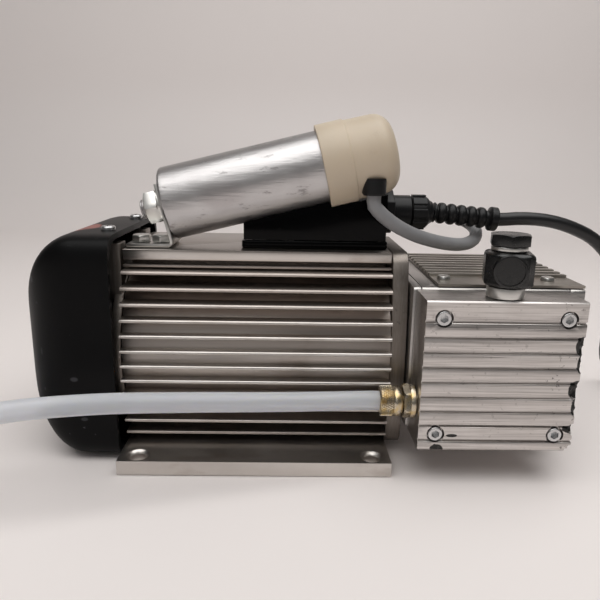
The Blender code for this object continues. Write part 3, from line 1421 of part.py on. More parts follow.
def build_cords():
    cord("capacitor_lead", LEAD_ROUTE, LEAD_DIAMETER, grey_jacket(), 1.1)
    cord("mains_cable", CABLE_ROUTE, CABLE_DIAMETER, black_jacket())
    coil("mains_cable_coil", CABLE_COIL, CABLE_DIAMETER, black_jacket())
    mains_plug()
    cord("suction_hose", HOSE_ROUTE, HOSE_DIAMETER, clear_hose())
    coil("suction_hose_coil", HOSE_COIL, HOSE_DIAMETER, clear_hose())


def main():
    clear_scene()
    rotor = axis_empty("rotor_axis", SHAFT_AT)
    build_motor(rotor)
    build_pump(rotor)
    build_fittings()
    build_electrics()
    build_cords()


main()
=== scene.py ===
from math import asin, atan2, cos, hypot, pi, radians, sin

import bmesh
import bpy
from bpy.props import FloatProperty, FloatVectorProperty, IntProperty, PointerProperty
from mathutils import Matrix, Vector


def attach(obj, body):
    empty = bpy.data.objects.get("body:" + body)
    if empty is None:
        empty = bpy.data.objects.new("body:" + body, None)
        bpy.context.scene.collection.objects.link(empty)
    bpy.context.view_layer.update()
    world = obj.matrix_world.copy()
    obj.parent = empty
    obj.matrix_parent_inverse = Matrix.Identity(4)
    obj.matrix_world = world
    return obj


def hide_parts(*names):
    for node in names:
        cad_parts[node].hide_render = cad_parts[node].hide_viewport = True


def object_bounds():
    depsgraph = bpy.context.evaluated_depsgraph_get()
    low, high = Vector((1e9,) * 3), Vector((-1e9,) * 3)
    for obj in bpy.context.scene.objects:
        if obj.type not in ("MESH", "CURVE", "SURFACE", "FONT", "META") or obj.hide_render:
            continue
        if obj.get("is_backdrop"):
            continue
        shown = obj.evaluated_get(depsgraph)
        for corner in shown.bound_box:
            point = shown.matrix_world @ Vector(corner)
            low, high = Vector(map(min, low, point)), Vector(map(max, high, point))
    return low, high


bl_info = {
    "name": "Rotary vane vacuum pump",
    "version": (1, 0, 0),
    "blender": (4, 5, 0),
    "location": "3D View > Sidebar > Vacuum Pump",
    "description": "Builds the looks of a motor-driven rotary vane vacuum pump around its frame",
    "category": "Object",
}

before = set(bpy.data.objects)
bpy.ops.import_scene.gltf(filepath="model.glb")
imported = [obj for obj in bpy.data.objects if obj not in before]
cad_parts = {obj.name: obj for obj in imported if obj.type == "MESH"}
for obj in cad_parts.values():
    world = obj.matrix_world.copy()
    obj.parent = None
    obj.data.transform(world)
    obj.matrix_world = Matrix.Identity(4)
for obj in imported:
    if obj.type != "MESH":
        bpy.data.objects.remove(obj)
CAD_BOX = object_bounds()
MM = 0.001

# Places and sizes in millimetres that more than one piece uses
SHAFT = 43.0
MOTOR_END, MOTOR_TOP = 54.5, 86.0
BARREL, BARREL_BORE = 36.0, 31.5
FOOT_HOLES = [(x, y) for x in (-47.0, 47.0) for y in (-47.0, 47.0)]
STRAP_SCREWS = ((-49.0, -16.5), (-40.7, -16.5))
COVER_RIM, COVER_BEND, COVER_DOME = -56.0, -70.2, 25.0
COVER_SCREW = (-61, -22)
HEAD_END = 130.5
PLATE_START, PLATE_SCREW, PLATE_SCREW_STEP = 71.9, (76.5, -25.85), 43
BOX_START, BOX_END, BOX_FRONT, BOX_BOTTOM, BOX_TOP = 63.0, 122.5, -56.7, 14.3, 73.7
BOX_SCREWS = [(x, z) for z in (67.0, 21.0) for x in (69.7, 115.8)]
BANJO, BANJO_PORT_HEIGHT = (93.7, -49.2), 84.85
INLET = (-47.2, 30.6)
GLAND, LEAD_GLAND, GLAND_FACE = (4.0, 99.9), (19.4, 99.0), 53.1
CAN_END, CAN_TILT = (-38.1, -13.1, 103.35), radians(13.9)


# ---- meshes, drawn in millimetres ------------------------------------------------------------------
def placed(axis, a, b, along):
    """A point from two cross coordinates, in X, Y, Z order, and one along the axis."""
    return {"X": (along, a, b), "Y": (a, along, b), "Z": (a, b, along)}[axis]


def prism(bm, outline, axis, start, end):
    low = [bm.verts.new(placed(axis, a, b, start)) for a, b in outline]
    high = [bm.verts.new(placed(axis, a, b, end)) for a, b in outline]
    bm.faces.new(low)
    bm.faces.new(high)
    for i, vert in enumerate(low):
        after = (i + 1) % len(low)
        bm.faces.new((vert, low[after], high[after], high[i]))


def box(bm, low, high):
    prism(
        bm, [(low[0], low[1]), (high[0], low[1]), (high[0], high[1]), (low[0], high[1])], "Z", low[2], high[2]
    )


def turned(bm, profile, axis, centre=(0.0, 0.0), segments=64, phase=0.5):
    """A profile of (radius, place along the axis) turned about it; one that keeps off the axis is closed."""
    rings = []
    for radius, along in profile:
        if radius == 0:
            rings.append([bm.verts.new(placed(axis, *centre, along))] * segments)
            continue
        turns = [2 * pi * (i + phase) / segments for i in range(segments)]
        spots = [(centre[0] + radius * cos(t), centre[1] + radius * sin(t)) for t in turns]
        rings.append([bm.verts.new(placed(axis, a, b, along)) for a, b in spots])
    pairs = list(zip(rings, rings[1:]))
    if profile[0][0] > 0:
        pairs.append((rings[-1], rings[0]))
    for one, two in pairs:
        for i in range(segments):
            after = (i + 1) % segments
            corners = [one[i], one[after], two[after], two[i]]
            unique = [vert for k, vert in enumerate(corners) if vert not in corners[:k]]
            if len(unique) > 2:
                bm.faces.new(unique)


def lathe(*args, **settings):
    """A turned shape in a mesh of its own."""
    bm = bmesh.new()
    turned(bm, *args, **settings)
    return bm


def slab(outline, axis, start, end):
    """A prism in a mesh of its own."""
    bm = bmesh.new()
    prism(bm, outline, axis, start, end)
    return bm


def block(low, high):
    """A box in a mesh of its own."""
    bm = bmesh.new()
    box(bm, low, high)
    return bm


def rod(radius, start, end):
    """The profile of a plain round rod, or of its hole."""
    return [(0, start), (radius, start), (radius, end), (0, end)]


def bridge(bm, rings):
    """Faces between each ring of corners and the next."""
    for one, two in zip(rings, rings[1:]):
        for i in range(len(one)):
            after = (i + 1) % len(one)
            bm.faces.new((one[i], one[after], two[after], two[i]))


def rounded(a0, a1, b0, b1, radius, steps=5):
    """A rectangle's outline with round corners."""
    points = []
    corners = (
        (a1 - radius, b1 - radius), (a0 + radius, b1 - radius), (a0 + radius, b0 + radius),
        (a1 - radius, b0 + radius),
    )
    for quarter, (a, b) in enumerate(corners):
        for i in range(steps + 1):
            turn = pi / 2 * (quarter + i / steps)
            points.append((a + radius * cos(turn), b + radius * sin(turn)))
    return points


def polygon(across_flats, sides=6, centre=(0.0, 0.0), phase=0.5):
    radius = across_flats / 2 / cos(pi / sides)
    turns = [2 * pi * (i + phase) / sides for i in range(sides)]
    return [(centre[0] + radius * cos(t), centre[1] + radius * sin(t)) for t in turns]


def arc(centre, radius, start, end, steps):
    """(radius, along) points of a quarter or so, for the corners of turned profiles."""
    turns = [radians(start + (end - start) * i / steps) for i in range(steps + 1)]
    return [(centre[0] + radius * cos(t), centre[1] + radius * sin(t)) for t in turns]


def mesh_object(name, bm, finish=None, matrix=None, sharp=34):
    """An object at the origin, with its place in its mesh and its faces outwards."""
    if matrix:
        bmesh.ops.transform(bm, matrix=matrix, verts=bm.verts)
    bmesh.ops.recalc_face_normals(bm, faces=bm.faces)
    bmesh.ops.scale(bm, vec=(MM, MM, MM), verts=bm.verts)
    mesh = bpy.data.meshes.new(name)
    bm.to_mesh(mesh)
    bm.free()
    mesh.shade_smooth()
    mesh.set_sharp_from_angle(angle=radians(sharp))
    if finish:
        mesh.materials.append(finish)
    obj = bpy.data.objects.new(name, mesh)
    bpy.context.scene.collection.objects.link(obj)
    return obj


def bake(obj, sharp=34):
    """Turns an object's live modifiers into a plain mesh."""
    bpy.context.view_layer.update()
    graph = bpy.context.evaluated_depsgraph_get()
    mesh = bpy.data.meshes.new_from_object(obj.evaluated_get(graph), depsgraph=graph)
    obj.modifiers.clear()
    obj.data = mesh
    mesh.shade_smooth()
    mesh.set_sharp_from_angle(angle=radians(sharp))
    return obj


def cut(obj, bm, operation="DIFFERENCE", matrix=None):
    """Cuts a shape from an object, or adds it, and keeps only the result."""
    tool = mesh_object(obj.name + "_tool", bm, matrix=matrix)
    modifier = obj.modifiers.new("cut", "BOOLEAN")
    modifier.operation = operation
    modifier.object = tool
    bake(obj)
    bpy.data.objects.remove(tool, do_unlink=True)
    return obj


def soften(obj, width, segments=2, angle=40):
    """Rounds an object's hard edges by a width in millimetres."""
    modifier = obj.modifiers.new("soften", "BEVEL")
    modifier.width = width * MM
    modifier.segments = segments
    modifier.limit_method = "ANGLE"
    modifier.angle_limit = radians(angle)
    modifier.harden_normals = False
    modifier.use_clamp_overlap = True
    return bake(obj)


def merge(obj, *others):
    """Puts several objects' meshes into one, under the first one's name."""
    bm = bmesh.new()
    bm.from_mesh(obj.data)
    for other in others:
        bm.from_mesh(other.data)
        bpy.data.objects.remove(other, do_unlink=True)
    bm.to_mesh(obj.data)
    bm.free()
    obj.data.shade_smooth()
    obj.data.set_sharp_from_angle(angle=radians(34))
    return obj


def merge_finishes(obj, other):
    """Adds another object's mesh and keeps that one's own finish on it."""
    bm = bmesh.new()
    bm.from_mesh(obj.data)
    count = len(bm.faces)
    bm.from_mesh(other.data)
    bm.faces.ensure_lookup_table()
    for face in bm.faces[count:]:
        face.material_index = 1
    obj.data.materials.append(other.data.materials[0])
    bm.to_mesh(obj.data)
    bm.free()
    bpy.data.objects.remove(other, do_unlink=True)
    obj.data.shade_smooth()
    obj.data.set_sharp_from_angle(angle=radians(34))
    return obj


def settle(obj, slot, *nodes):
    """Hides the frame nodes that a finished piece stands in for; the slot is not used. All of them ride on the
    pump.
    """
    if nodes:
        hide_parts(*nodes)
    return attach(obj, "pump")


def dressed(node, finish, width, slot):
    """A frame node's own shape with its edges rounded."""
    bm = bmesh.new()
    bm.from_mesh(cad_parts[node].data)
    bmesh.ops.remove_doubles(bm, verts=bm.verts, dist=1e-6)
    bmesh.ops.scale(bm, vec=(1000, 1000, 1000), verts=bm.verts)
    bmesh.ops.dissolve_limit(bm, angle_limit=radians(1), verts=bm.verts, edges=bm.edges)
    settle(soften(mesh_object(node + "_skin", bm, finish), width), slot, node)


# ---- node trees -------------------------------------------------------------------------------------
class Tree:
    """Adds nodes to a shader or geometry tree and joins them as it goes."""

    def __init__(self, tree):
        self.tree = tree
        self.count = 0

    def add(self, kind, inputs=(), **settings):
        node = self.tree.nodes.new(kind)
        node.location = (self.count % 12 * 190, -(self.count // 12) * 260)
        self.count += 1
        for key, value in settings.items():
            setattr(node, key, value)
        for key, value in dict(inputs).items():
            socket = node.inputs[key]
            if isinstance(value, bpy.types.NodeSocket):
                self.tree.links.new(value, socket)
            else:
                socket.default_value = value
        return node

    def math(self, operation, first, second=0.0, third=0.0):
        kind = "ShaderNodeMath"
        return self.add(kind, {0: first, 1: second, 2: third}, operation=operation).outputs[0]

    def times(self, first, second):
        return self.math("MULTIPLY", first, second)

    def plus(self, first, second):
        return self.math("ADD", first, second)


class Finish(Tree):
    """A procedural material: patterns on Object coordinates that drive one Principled shader."""

    def __init__(self, name, roughness, metallic=0.0, **constants):
        self.material = bpy.data.materials.new(name)
        self.material.use_nodes = True
        super().__init__(self.material.node_tree)
        self.shader = self.tree.nodes["Principled BSDF"]
        self.shader.inputs["Roughness"].default_value = roughness
        self.shader.inputs["Metallic"].default_value = metallic
        for key, value in constants.items():
            self.shader.inputs[key.replace("_", " ")].default_value = value
        self.place = self.add("ShaderNodeTexCoord").outputs["Object"]
        parts = self.add("ShaderNodeSeparateXYZ", {0: self.place})
        self.x, self.y, self.z = parts.outputs

    def mapped(self, scale=(1, 1, 1), move=(0, 0, 0), turn=(0, 0, 0)):
        inputs = {"Vector": self.place, "Scale": scale, "Location": move, "Rotation": turn}
        return self.add("ShaderNodeMapping", inputs).outputs[0]

    def noise(
        self, scale, stretch=(1, 1, 1), detail=4.0, roughness=0.55, move=(0, 0, 0), turn=(0, 0, 0), distortion=0.0
    ):
        """Grey noise from 0 to 1; scale is in spots a metre."""
        inputs = {"Vector": self.mapped(stretch, move, turn), "Scale": scale, "Detail": detail}
        inputs.update({"Roughness": roughness, "Distortion": distortion})
        return self.add("ShaderNodeTexNoise", inputs).outputs[0]

    def cells(self, scale):
        return self.add("ShaderNodeTexVoronoi", {"Vector": self.mapped(), "Scale": scale}).outputs["Distance"]

    def ramp(self, value, *stops):
        """A grey ramp between two stops, each of them (place, grey)."""
        node = self.add("ShaderNodeValToRGB", {0: value})
        for element, (spot, grey) in zip(node.color_ramp.elements, stops):
            element.position = spot
            element.color = (grey, grey, grey, 1.0)
        return node.outputs[0]

    def window(self, value, low, high, blur):
        """One inside a span of a coordinate and nought outside it, with soft ends; all in metres."""
        up = self.add(
            "ShaderNodeMapRange", {0: value, 1: low - blur, 2: low + blur}, interpolation_type="SMOOTHSTEP"
        )
        down = self.add(
            "ShaderNodeMapRange", {0: value, 1: high - blur, 2: high + blur}, interpolation_type="SMOOTHSTEP"
        )
        return self.math("SUBTRACT", up.outputs[0], down.outputs[0])

    def spot(self, centre, size, blur=0.5):
        """A soft ellipsoid around a point: one at its middle, nought at its rim."""
        scale = tuple(1 / s for s in size)
        move = tuple(-c / s for c, s in zip(centre, size))
        length = self.add(
            "ShaderNodeVectorMath", {0: self.mapped(scale, move)}, operation="LENGTH"
        ).outputs["Value"]
        inputs = {0: length, 1: 1.0, 2: 1.0 - blur, 3: 0.0, 4: 1.0}
        return self.add("ShaderNodeMapRange", inputs, interpolation_type="SMOOTHSTEP").outputs[0]

    def joined(self, before, one):
        """The stronger of two patterns, or the one that there is."""
        return one if before is None else self.math("MAXIMUM", before, one)

    def blend(self, one, much, two, little):
        """Two patterns added in given shares."""
        return self.plus(self.times(one, much), self.times(two, little))

    def mix(self, share, first, second):
        node = self.add("ShaderNodeMix", data_type="RGBA")
        for index, value in ((0, share), (6, first), (7, second)):
            if isinstance(value, bpy.types.NodeSocket):
                self.tree.links.new(value, node.inputs[index])
            elif index:
                node.inputs[index].default_value = (*value, 1.0)
            else:
                node.inputs[0].default_value = value
        return node.outputs[2]

    def colour(self, value):
        if isinstance(value, bpy.types.NodeSocket):
            self.tree.links.new(value, self.shader.inputs["Base Color"])
        else:
            self.shader.inputs["Base Color"].default_value = (*value, 1.0)

    def rough(self, value, low, high):
        """Roughness that runs from low to high as a pattern runs from 0 to 1."""
        node = self.add("ShaderNodeMapRange", {0: value, 3: low, 4: high})
        self.tree.links.new(node.outputs[0], self.shader.inputs["Roughness"])

    def metal(self, value):
        self.tree.links.new(value, self.shader.inputs["Metallic"])

    def bump(self, *layers):
        """Each layer is (pattern, height in millimetres); they add up."""
        before = None
        for value, height in layers:
            inputs = {"Height": value, "Distance": height * MM, "Strength": 1.0}
            if before:
                inputs["Normal"] = before
            before = self.add("ShaderNodeBump", inputs).outputs[0]
        self.tree.links.new(before, self.shader.inputs["Normal"])


def once(make):
    """Keeps one copy of a material."""
    kept = []

    def get():
        if not kept:
            kept.append(make())
        return kept[0]

    return get


def plain(name, base, grain, low, high, rough=None, bump=None, share=None, **constants):
    """A finish of two tones in clouds. Its base is (roughness, metallic) and its grain is a noise's settings.

    The bump is (a noise's settings, or None for the clouds, and a height), and the share is where among the
    clouds the second tone comes in.
    """

    def make():
        f = Finish(name, *base, **constants)
        cloud = f.noise(*grain)
        f.colour(f.mix(f.ramp(cloud, (share[0], 0.0), (share[1], 1.0)) if share else cloud, low, high))
        if rough:
            f.rough(cloud, *rough)
        if bump:
            f.bump((f.noise(*bump[0]) if bump[0] else cloud, bump[1]))
        return f.material

    return once(make)


EVEN = (1, 1, 1)
zinc_plate = plain(
    "zinc plate", (0.3, 1.0), (140, EVEN, 4), (0.56, 0.55, 0.52), (0.76, 0.75, 0.73), (0.2, 0.42),
    ((900, EVEN, 3), 0.008),
)
bright_steel = plain(
    "ground steel", (0.25, 1.0), (180, EVEN, 3), (0.52, 0.52, 0.53), (0.70, 0.70, 0.70), (0.18, 0.36),
    ((500, (0.3, 8, 8), 3), 0.008),
)
nickel_brass = plain(
    "nickel on brass", (0.25, 1.0), (260, EVEN, 4), (0.56, 0.50, 0.40), (0.60, 0.45, 0.22), (0.16, 0.38),
    ((700, EVEN, 2), 0.01), (0.46, 0.66),
)
moulded_black = plain(
    "moulded black plastic", (0.38,), (120, EVEN, 4), (
        0.0035, 0.0035, 0.004
    ), (0.010, 0.010, 0.011), (0.26, 0.48),
    ((1500, EVEN, 2), 0.01), Specular_IOR_Level=0.3,
)
anodised_black = plain(
    "black anodised metal", (0.25,), (220, EVEN, 5), (
        0.003, 0.003, 0.0032
    ), (0.014, 0.013, 0.013), (0.18, 0.36),
    ((900, EVEN, 2), 0.01), (0.58, 0.75), Specular_IOR_Level=0.6,
)
white_plastic = plain(
    "white plastic", (0.4,), (150, EVEN, 3), (0.70, 0.69, 0.66), (0.80, 0.79, 0.77), (0.35, 0.5),
)
grey_jacket = plain(
    "grey cable jacket", (0.34,), (160, EVEN, 4), (0.22, 0.22, 0.225), (0.30, 0.30, 0.31), (0.34, 0.5),
    ((1200, EVEN, 2), 0.012),
)
black_jacket = plain(
    "black cable jacket", (0.30,), (160, EVEN, 4), (0.004, 0.004, 0.0045), (0.009, 0.009, 0.010), (0.30, 0.46),
    ((1300, EVEN, 2), 0.012),
)
soft_tie = plain(
    "tie plastic", (0.4,), (160, EVEN, 4), (0.010, 0.010, 0.011), (0.02, 0.02, 0.022), (0.4, 0.55),
    ((900, EVEN, 2), 0.012),
)
laminated_steel = plain(
    "laminated steel", (0.5, 1.0), (
        2200, (1, 0.02, 0.02), 1
    ), (0.16, 0.15, 0.15), (0.36, 0.35, 0.34), (0.4, 0.6),
    (None, 0.06),
)
copper_winding = plain(
    "varnished copper", (0.35, 0.9), (900, (0.2, 1, 1), 3), (0.36, 0.12, 0.05), (0.72, 0.32, 0.15), (0.25, 0.5),
    (None, 0.2),
)
graphite = plain(
    "graphite", (0.5, 0.2), (500, EVEN, 4), (0.02, 0.02, 0.022), (0.06, 0.06, 0.064), (0.4, 0.65),
)
filter_felt = plain(
    "filter felt", (0.95,), (1500, EVEN, 6, 0.8), (0.42, 0.38, 0.30), (0.66, 0.62, 0.54), bump=(None, 0.3),
)
black_rubber = plain(
    "black rubber", (0.75,), (400, EVEN, 4), (0.018, 0.018, 0.018), (0.035, 0.035, 0.035), (0.65, 0.85),
)


@once
def extruded_aluminium():
    """Drawn along X: fine lines that way, the plain tone on the fins' tips and painted shade between them, darker
    towards the barrel.
    """
    f = Finish("extruded aluminium", 0.35, 1.0)
    lines = f.noise(60, (0.6, 40, 40), detail=3)
    cloud = f.noise(45, detail=5)
    # Painted shade: between the fins the colour darkens with depth towards the barrel, standing in for the shade
    # in the gaps.
    reach = f.math("ABSOLUTE", f.y)
    deep = f.add(
        "ShaderNodeMapRange", {0: reach, 1: 0.0405, 2: 0.0330}, interpolation_type="SMOOTHSTEP"
    ).outputs[0]
    inside = f.times(deep, f.window(f.z, 0.0075, 0.0820, 0.0008))
    tone = f.mix(cloud, (0.52, 0.485, 0.45), (0.72, 0.69, 0.66))
    gap_shade = f.mix(lines, (0.34, 0.285, 0.25), (0.52, 0.455, 0.415))
    tone = f.mix(f.times(inside, 0.75), tone, gap_shade)
    stain = f.ramp(f.noise(90, (0.5, 1, 1), detail=6, move=(0.3, 0, 0)), (0.57, 0.0), (0.72, 1.0))
    tone = f.mix(f.times(stain, 0.35), tone, (0.28, 0.22, 0.18))
    top = f.times(f.window(f.z, 0.0852, 0.0900, 0.0004), 0.55)
    tone = f.mix(top, tone, f.mix(lines, (0.20, 0.17, 0.15), (0.30, 0.26, 0.23)))
    f.colour(tone)
    f.rough(f.blend(cloud, 0.5, inside, 0.5), 0.26, 0.52)
    pits = f.ramp(f.cells(420), (0.0, 0.0), (0.18, 1.0))
    f.bump((lines, 0.035), (pits, 0.012))
    return f.material


def machined(name, tone_low, tone_high, grain, rough=(0.25, 0.45), chips=0.0):
    """Milled aluminium with a grain along one axis and a few worn-through or dirty specks."""
    f = Finish(name, 0.35, 1.0)
    lines = f.noise(70, grain, detail=4)
    cloud = f.noise(60, detail=5)
    tone = f.mix(cloud, tone_low, tone_high)
    tone = f.mix(f.times(f.ramp(lines, (0.45, 0.0), (0.75, 1.0)), 0.35), tone, (0.40, 0.39, 0.38))
    specks = f.ramp(f.noise(330, detail=3), (0.66, 0.0), (0.72, 1.0))
    tone = f.mix(f.times(specks, 0.5 + chips), tone, (0.10, 0.095, 0.09))
    f.colour(tone)
    f.rough(f.blend(cloud, 0.6, lines, 0.4), *rough)
    scratch = f.ramp(f.noise(160, (0.15, 3, 3), detail=2, turn=(0.2, 0.5, 0.3)), (0.62, 0.0), (0.66, 1.0))
    f.bump((lines, 0.02), (scratch, 0.015))
    return f.material


@once
def pump_aluminium():
    return machined("milled aluminium", (0.42, 0.40, 0.38), (0.62, 0.60, 0.585), (0.5, 30, 30))


@once
def shaded_flange_aluminium():
    # Painted shade: a darker copy of the milled aluminium, for the shade that falls on the flange between motor
    # and pump; the fan-end shield uses it too.
    return machined(
        "cast flange aluminium", (0.17, 0.145, 0.125), (0.32, 0.285, 0.255), (30, 30, 0.7), (0.35, 0.55)
    )


@once
def filter_box_aluminium():
    """Bright milled ribs with knocked, darkened spots along the right edge."""
    f = Finish("ribbed box aluminium", 0.3, 1.0)
    lines = f.noise(80, (0.4, 25, 25), detail=5)
    cloud = f.noise(70, detail=6)
    tone = f.mix(cloud, (0.52, 0.49, 0.47), (0.74, 0.71, 0.69))
    tone = f.mix(f.times(f.ramp(lines, (0.42, 0.0), (0.66, 1.0)), 0.55), tone, (0.30, 0.275, 0.26))
    specks = f.ramp(f.noise(400, detail=4, roughness=0.7), (0.62, 0.0), (0.67, 1.0))
    edge = f.window(f.x, 0.108, 0.140, 0.006)
    tone = f.mix(f.times(specks, f.plus(f.times(edge, 0.5), 0.25)), tone, (0.06, 0.055, 0.05))
    chip = None
    for centre, size in (
        ((0.1222, -0.0567, 0.0570), (0.0034, 0.004, 0.0046)),
        ((0.1226, -0.0567, 0.0500), (0.0022, 0.004, 0.0044)),
        ((0.1222, -0.0567, 0.0395), (0.0042, 0.004, 0.0048)),
        ((0.1228, -0.0567, 0.0325), (0.0026, 0.004, 0.0042)),
        ((0.1224, -0.0567, 0.0236), (0.0048, 0.004, 0.0020)),
        ((0.0705, -0.0567, 0.0146), (0.0030, 0.004, 0.0026)),
        ((0.0760, -0.0567, 0.0205), (0.0026, 0.004, 0.0008)),
    ):
        chip = f.joined(chip, f.spot(centre, size, 0.35))
    ragged = f.ramp(f.times(chip, f.plus(f.noise(700, detail=3), 0.35)), (0.30, 0.0), (0.42, 1.0))
    tone = f.mix(ragged, tone, (0.012, 0.011, 0.010))
    f.colour(tone)
    f.metal(f.math("SUBTRACT", 1.0, f.times(ragged, 0.8)))
    f.rough(f.blend(cloud, 0.6, lines, 0.4), 0.2, 0.46)
    scratch = f.ramp(f.noise(180, (0.1, 3, 3), detail=2, turn=(0.3, 0.7, 0.2)), (0.64, 0.0), (0.68, 1.0))
    f.bump((lines, 0.025), (scratch, 0.02))
    return f.material


@once
def cooling_plate_aluminium():
    f = Finish("cooling plate aluminium", 0.35, 1.0)
    lines = f.noise(60, (0.5, 30, 30), detail=4)
    cloud = f.noise(80, detail=5)
    tone = f.mix(cloud, (0.30, 0.27, 0.24), (0.50, 0.465, 0.42))
    brown = f.times(f.spot((0.104, -0.024, 0.076), (0.020, 0.012, 0.02), 0.6), f.noise(120, detail=5))
    tone = f.mix(f.ramp(brown, (0.25, 0.0), (0.5, 0.8)), tone, (0.25, 0.17, 0.12))
    f.colour(tone)
    f.rough(f.blend(cloud, 0.6, lines, 0.4), 0.28, 0.5)
    f.bump((lines, 0.03))
    return f.material


@once
def can_aluminium():
    """A thin drawn can: bright, with scuffs, small dents and a few dull streaks around it."""
    f = Finish("drawn can aluminium", 0.22, 1.0)
    cloud = f.noise(55, detail=6, distortion=0.6)
    streaks = f.noise(120, (0.35, 1.5, 1.5), detail=5, turn=(0, CAN_TILT, 0))
    tone = f.mix(cloud, (0.46, 0.44, 0.44), (0.62, 0.61, 0.61))
    scuff = f.ramp(f.noise(260, (0.3, 1, 1), detail=4, roughness=0.7), (0.60, 0.0), (0.66, 1.0))
    tone = f.mix(f.times(scuff, 0.55), tone, (0.20, 0.18, 0.18))
    # A darker patch on the can's front, at mid height.
    front_dark_patch = f.spot((-0.014, -0.028, 0.108), (0.012, 0.02, 0.009), 0.7)
    tone = f.mix(f.times(front_dark_patch, 0.35), tone, (0.34, 0.30, 0.30))
    f.colour(tone)
    f.rough(f.blend(streaks, 0.6, scuff, 0.5), 0.26, 0.54)
    dents = f.noise(42, detail=2)
    brush = f.noise(150, (0.25, 3, 3), detail=6, roughness=0.7, turn=(0, CAN_TILT, 0))
    f.bump((dents, 0.5), (brush, 0.22))
    return f.material


@once
def satin_black():
    """The fan cover's moulded black, rubbed grey and nicked along its edges."""
    f = Finish("satin black plastic", 0.4, Specular_IOR_Level=0.12)
    cloud = f.noise(30, detail=5)
    base = f.mix(cloud, (0.0010, 0.0010, 0.0012), (0.0030, 0.0030, 0.0034))
    nicks = f.ramp(f.noise(190, (1, 1, 1.6), detail=6, roughness=0.75), (0.655, 0.0), (0.675, 1.0))
    zone = f.ramp(f.noise(28, detail=2, move=(0.4, 0.2, 0.1)), (0.50, 0.0), (0.62, 1.0))
    tone = f.mix(f.times(f.times(nicks, zone), 0.5), base, (0.12, 0.12, 0.13))
    marks = None
    for centre, size in (
        ((-0.0885, -0.036, 0.075), (0.0012, 0.004, 0.0018)),
        ((-0.0865, -0.040, 0.066), (0.0014, 0.004, 0.0012)),
        ((-0.0860, -0.040, 0.046), (0.0010, 0.004, 0.0030)),
        ((-0.0860, -0.040, 0.030), (0.0010, 0.004, 0.0015)),
        ((-0.0720, -0.0425, 0.036), (0.0020, 0.004, 0.0012)),
        ((-0.0850, -0.040, 0.019), (0.0016, 0.004, 0.0010)),
        ((-0.0690, -0.0425, 0.019), (0.0018, 0.004, 0.0010)),
    ):
        marks = f.joined(marks, f.spot(centre, size, 0.5))
    tone = f.mix(f.times(marks, 0.4), tone, (0.10, 0.10, 0.11))
    red = f.times(
        f.spot((-0.074, -0.012, 0.092), (0.010, 0.016, 0.008), 0.5), f.noise(90, (1, 0.6, 1), detail=5)
    )
    tone = f.mix(f.ramp(red, (0.30, 0.0), (0.50, 0.85)), tone, (0.34, 0.13, 0.11))
    f.colour(tone)
    f.rough(f.blend(cloud, 0.7, nicks, 0.3), 0.34, 0.56)
    f.bump((f.noise(1400, detail=2), 0.015), (f.noise(60, detail=3), 0.08))
    return f.material


@once
def gloss_black():
    f = Finish("glossy black plastic", 0.12, Specular_IOR_Level=0.1)
    cloud = f.noise(60, detail=5)
    dust = f.ramp(f.noise(600, detail=5, roughness=0.7), (0.60, 0.0), (0.70, 1.0))
    f.colour(f.mix(f.times(dust, 0.25), (0.0012, 0.0012, 0.0014), (0.014, 0.013, 0.012)))
    f.rough(f.blend(cloud, 0.5, dust, 0.5), 0.10, 0.30)
    f.bump((f.noise(35, detail=2), 0.06))
    return f.material


@once
def cream_plastic():
    f = Finish("aged cream plastic", 0.42)
    f.shader.inputs["Subsurface Weight"].default_value = 0.12
    f.shader.inputs["Subsurface Radius"].default_value = (0.002, 0.0014, 0.0009)
    f.shader.inputs["Subsurface Scale"].default_value = 1.0
    cloud = f.noise(45, detail=4)
    dirt = f.ramp(f.noise(170, detail=6, roughness=0.7), (0.60, 0.0), (0.75, 1.0))
    tone = f.mix(cloud, (0.56, 0.465, 0.35), (0.66, 0.56, 0.435))
    f.colour(f.mix(f.times(dirt, 0.3), tone, (0.48, 0.38, 0.27)))
    f.rough(cloud, 0.32, 0.5)
    f.bump((f.noise(900, detail=2), 0.012), (f.noise(70, detail=2), 0.08))
    return f.material


@once
def hose_plastic():
    """Milky, slightly blue tubing that lets some light through."""
    f = Finish("milky hose", 0.3, IOR=1.42)
    cloud = f.noise(60, (0.4, 1, 1), detail=3)
    f.colour(f.mix(cloud, (0.78, 0.80, 0.86), (0.88, 0.90, 0.93)))
    f.shader.inputs["Subsurface Weight"].default_value = 0.35
    f.shader.inputs["Subsurface Radius"].default_value = (0.004, 0.0045, 0.006)
    f.shader.inputs["Subsurface Scale"].default_value = 1.0
    f.shader.inputs["Transmission Weight"].default_value = 0.5
    f.rough(cloud, 0.22, 0.4)
    return f.material


# ---- geometry trees -----------------------------------------------------------------------------------
def geometry_tree(name, sockets):
    """An empty geometry tree with named inputs; returns it with its input sockets by name."""
    tree = bpy.data.node_groups.new(name, "GeometryNodeTree")
    tree.is_modifier = True
    face = tree.interface
    face.new_socket("Geometry", in_out="INPUT", socket_type="NodeSocketGeometry")
    for label, kind, value in sockets:
        socket = face.new_socket(label, in_out="INPUT", socket_type="NodeSocket" + kind)
        if value is not None:
            socket.default_value = value
    face.new_socket("Geometry", in_out="OUTPUT", socket_type="NodeSocketGeometry")
    build = Tree(tree)
    return build, build.add("NodeGroupInput").outputs


def close_tree(build, geometry, inputs):
    real = build.add("GeometryNodeRealizeInstances", {"Geometry": geometry})
    finish = build.add("GeometryNodeSetMaterial", {"Geometry": real.outputs[0], "Material": inputs["Material"]})
    build.tree.links.new(finish.outputs[0], build.add("NodeGroupOutput").inputs[0])
    return build.tree


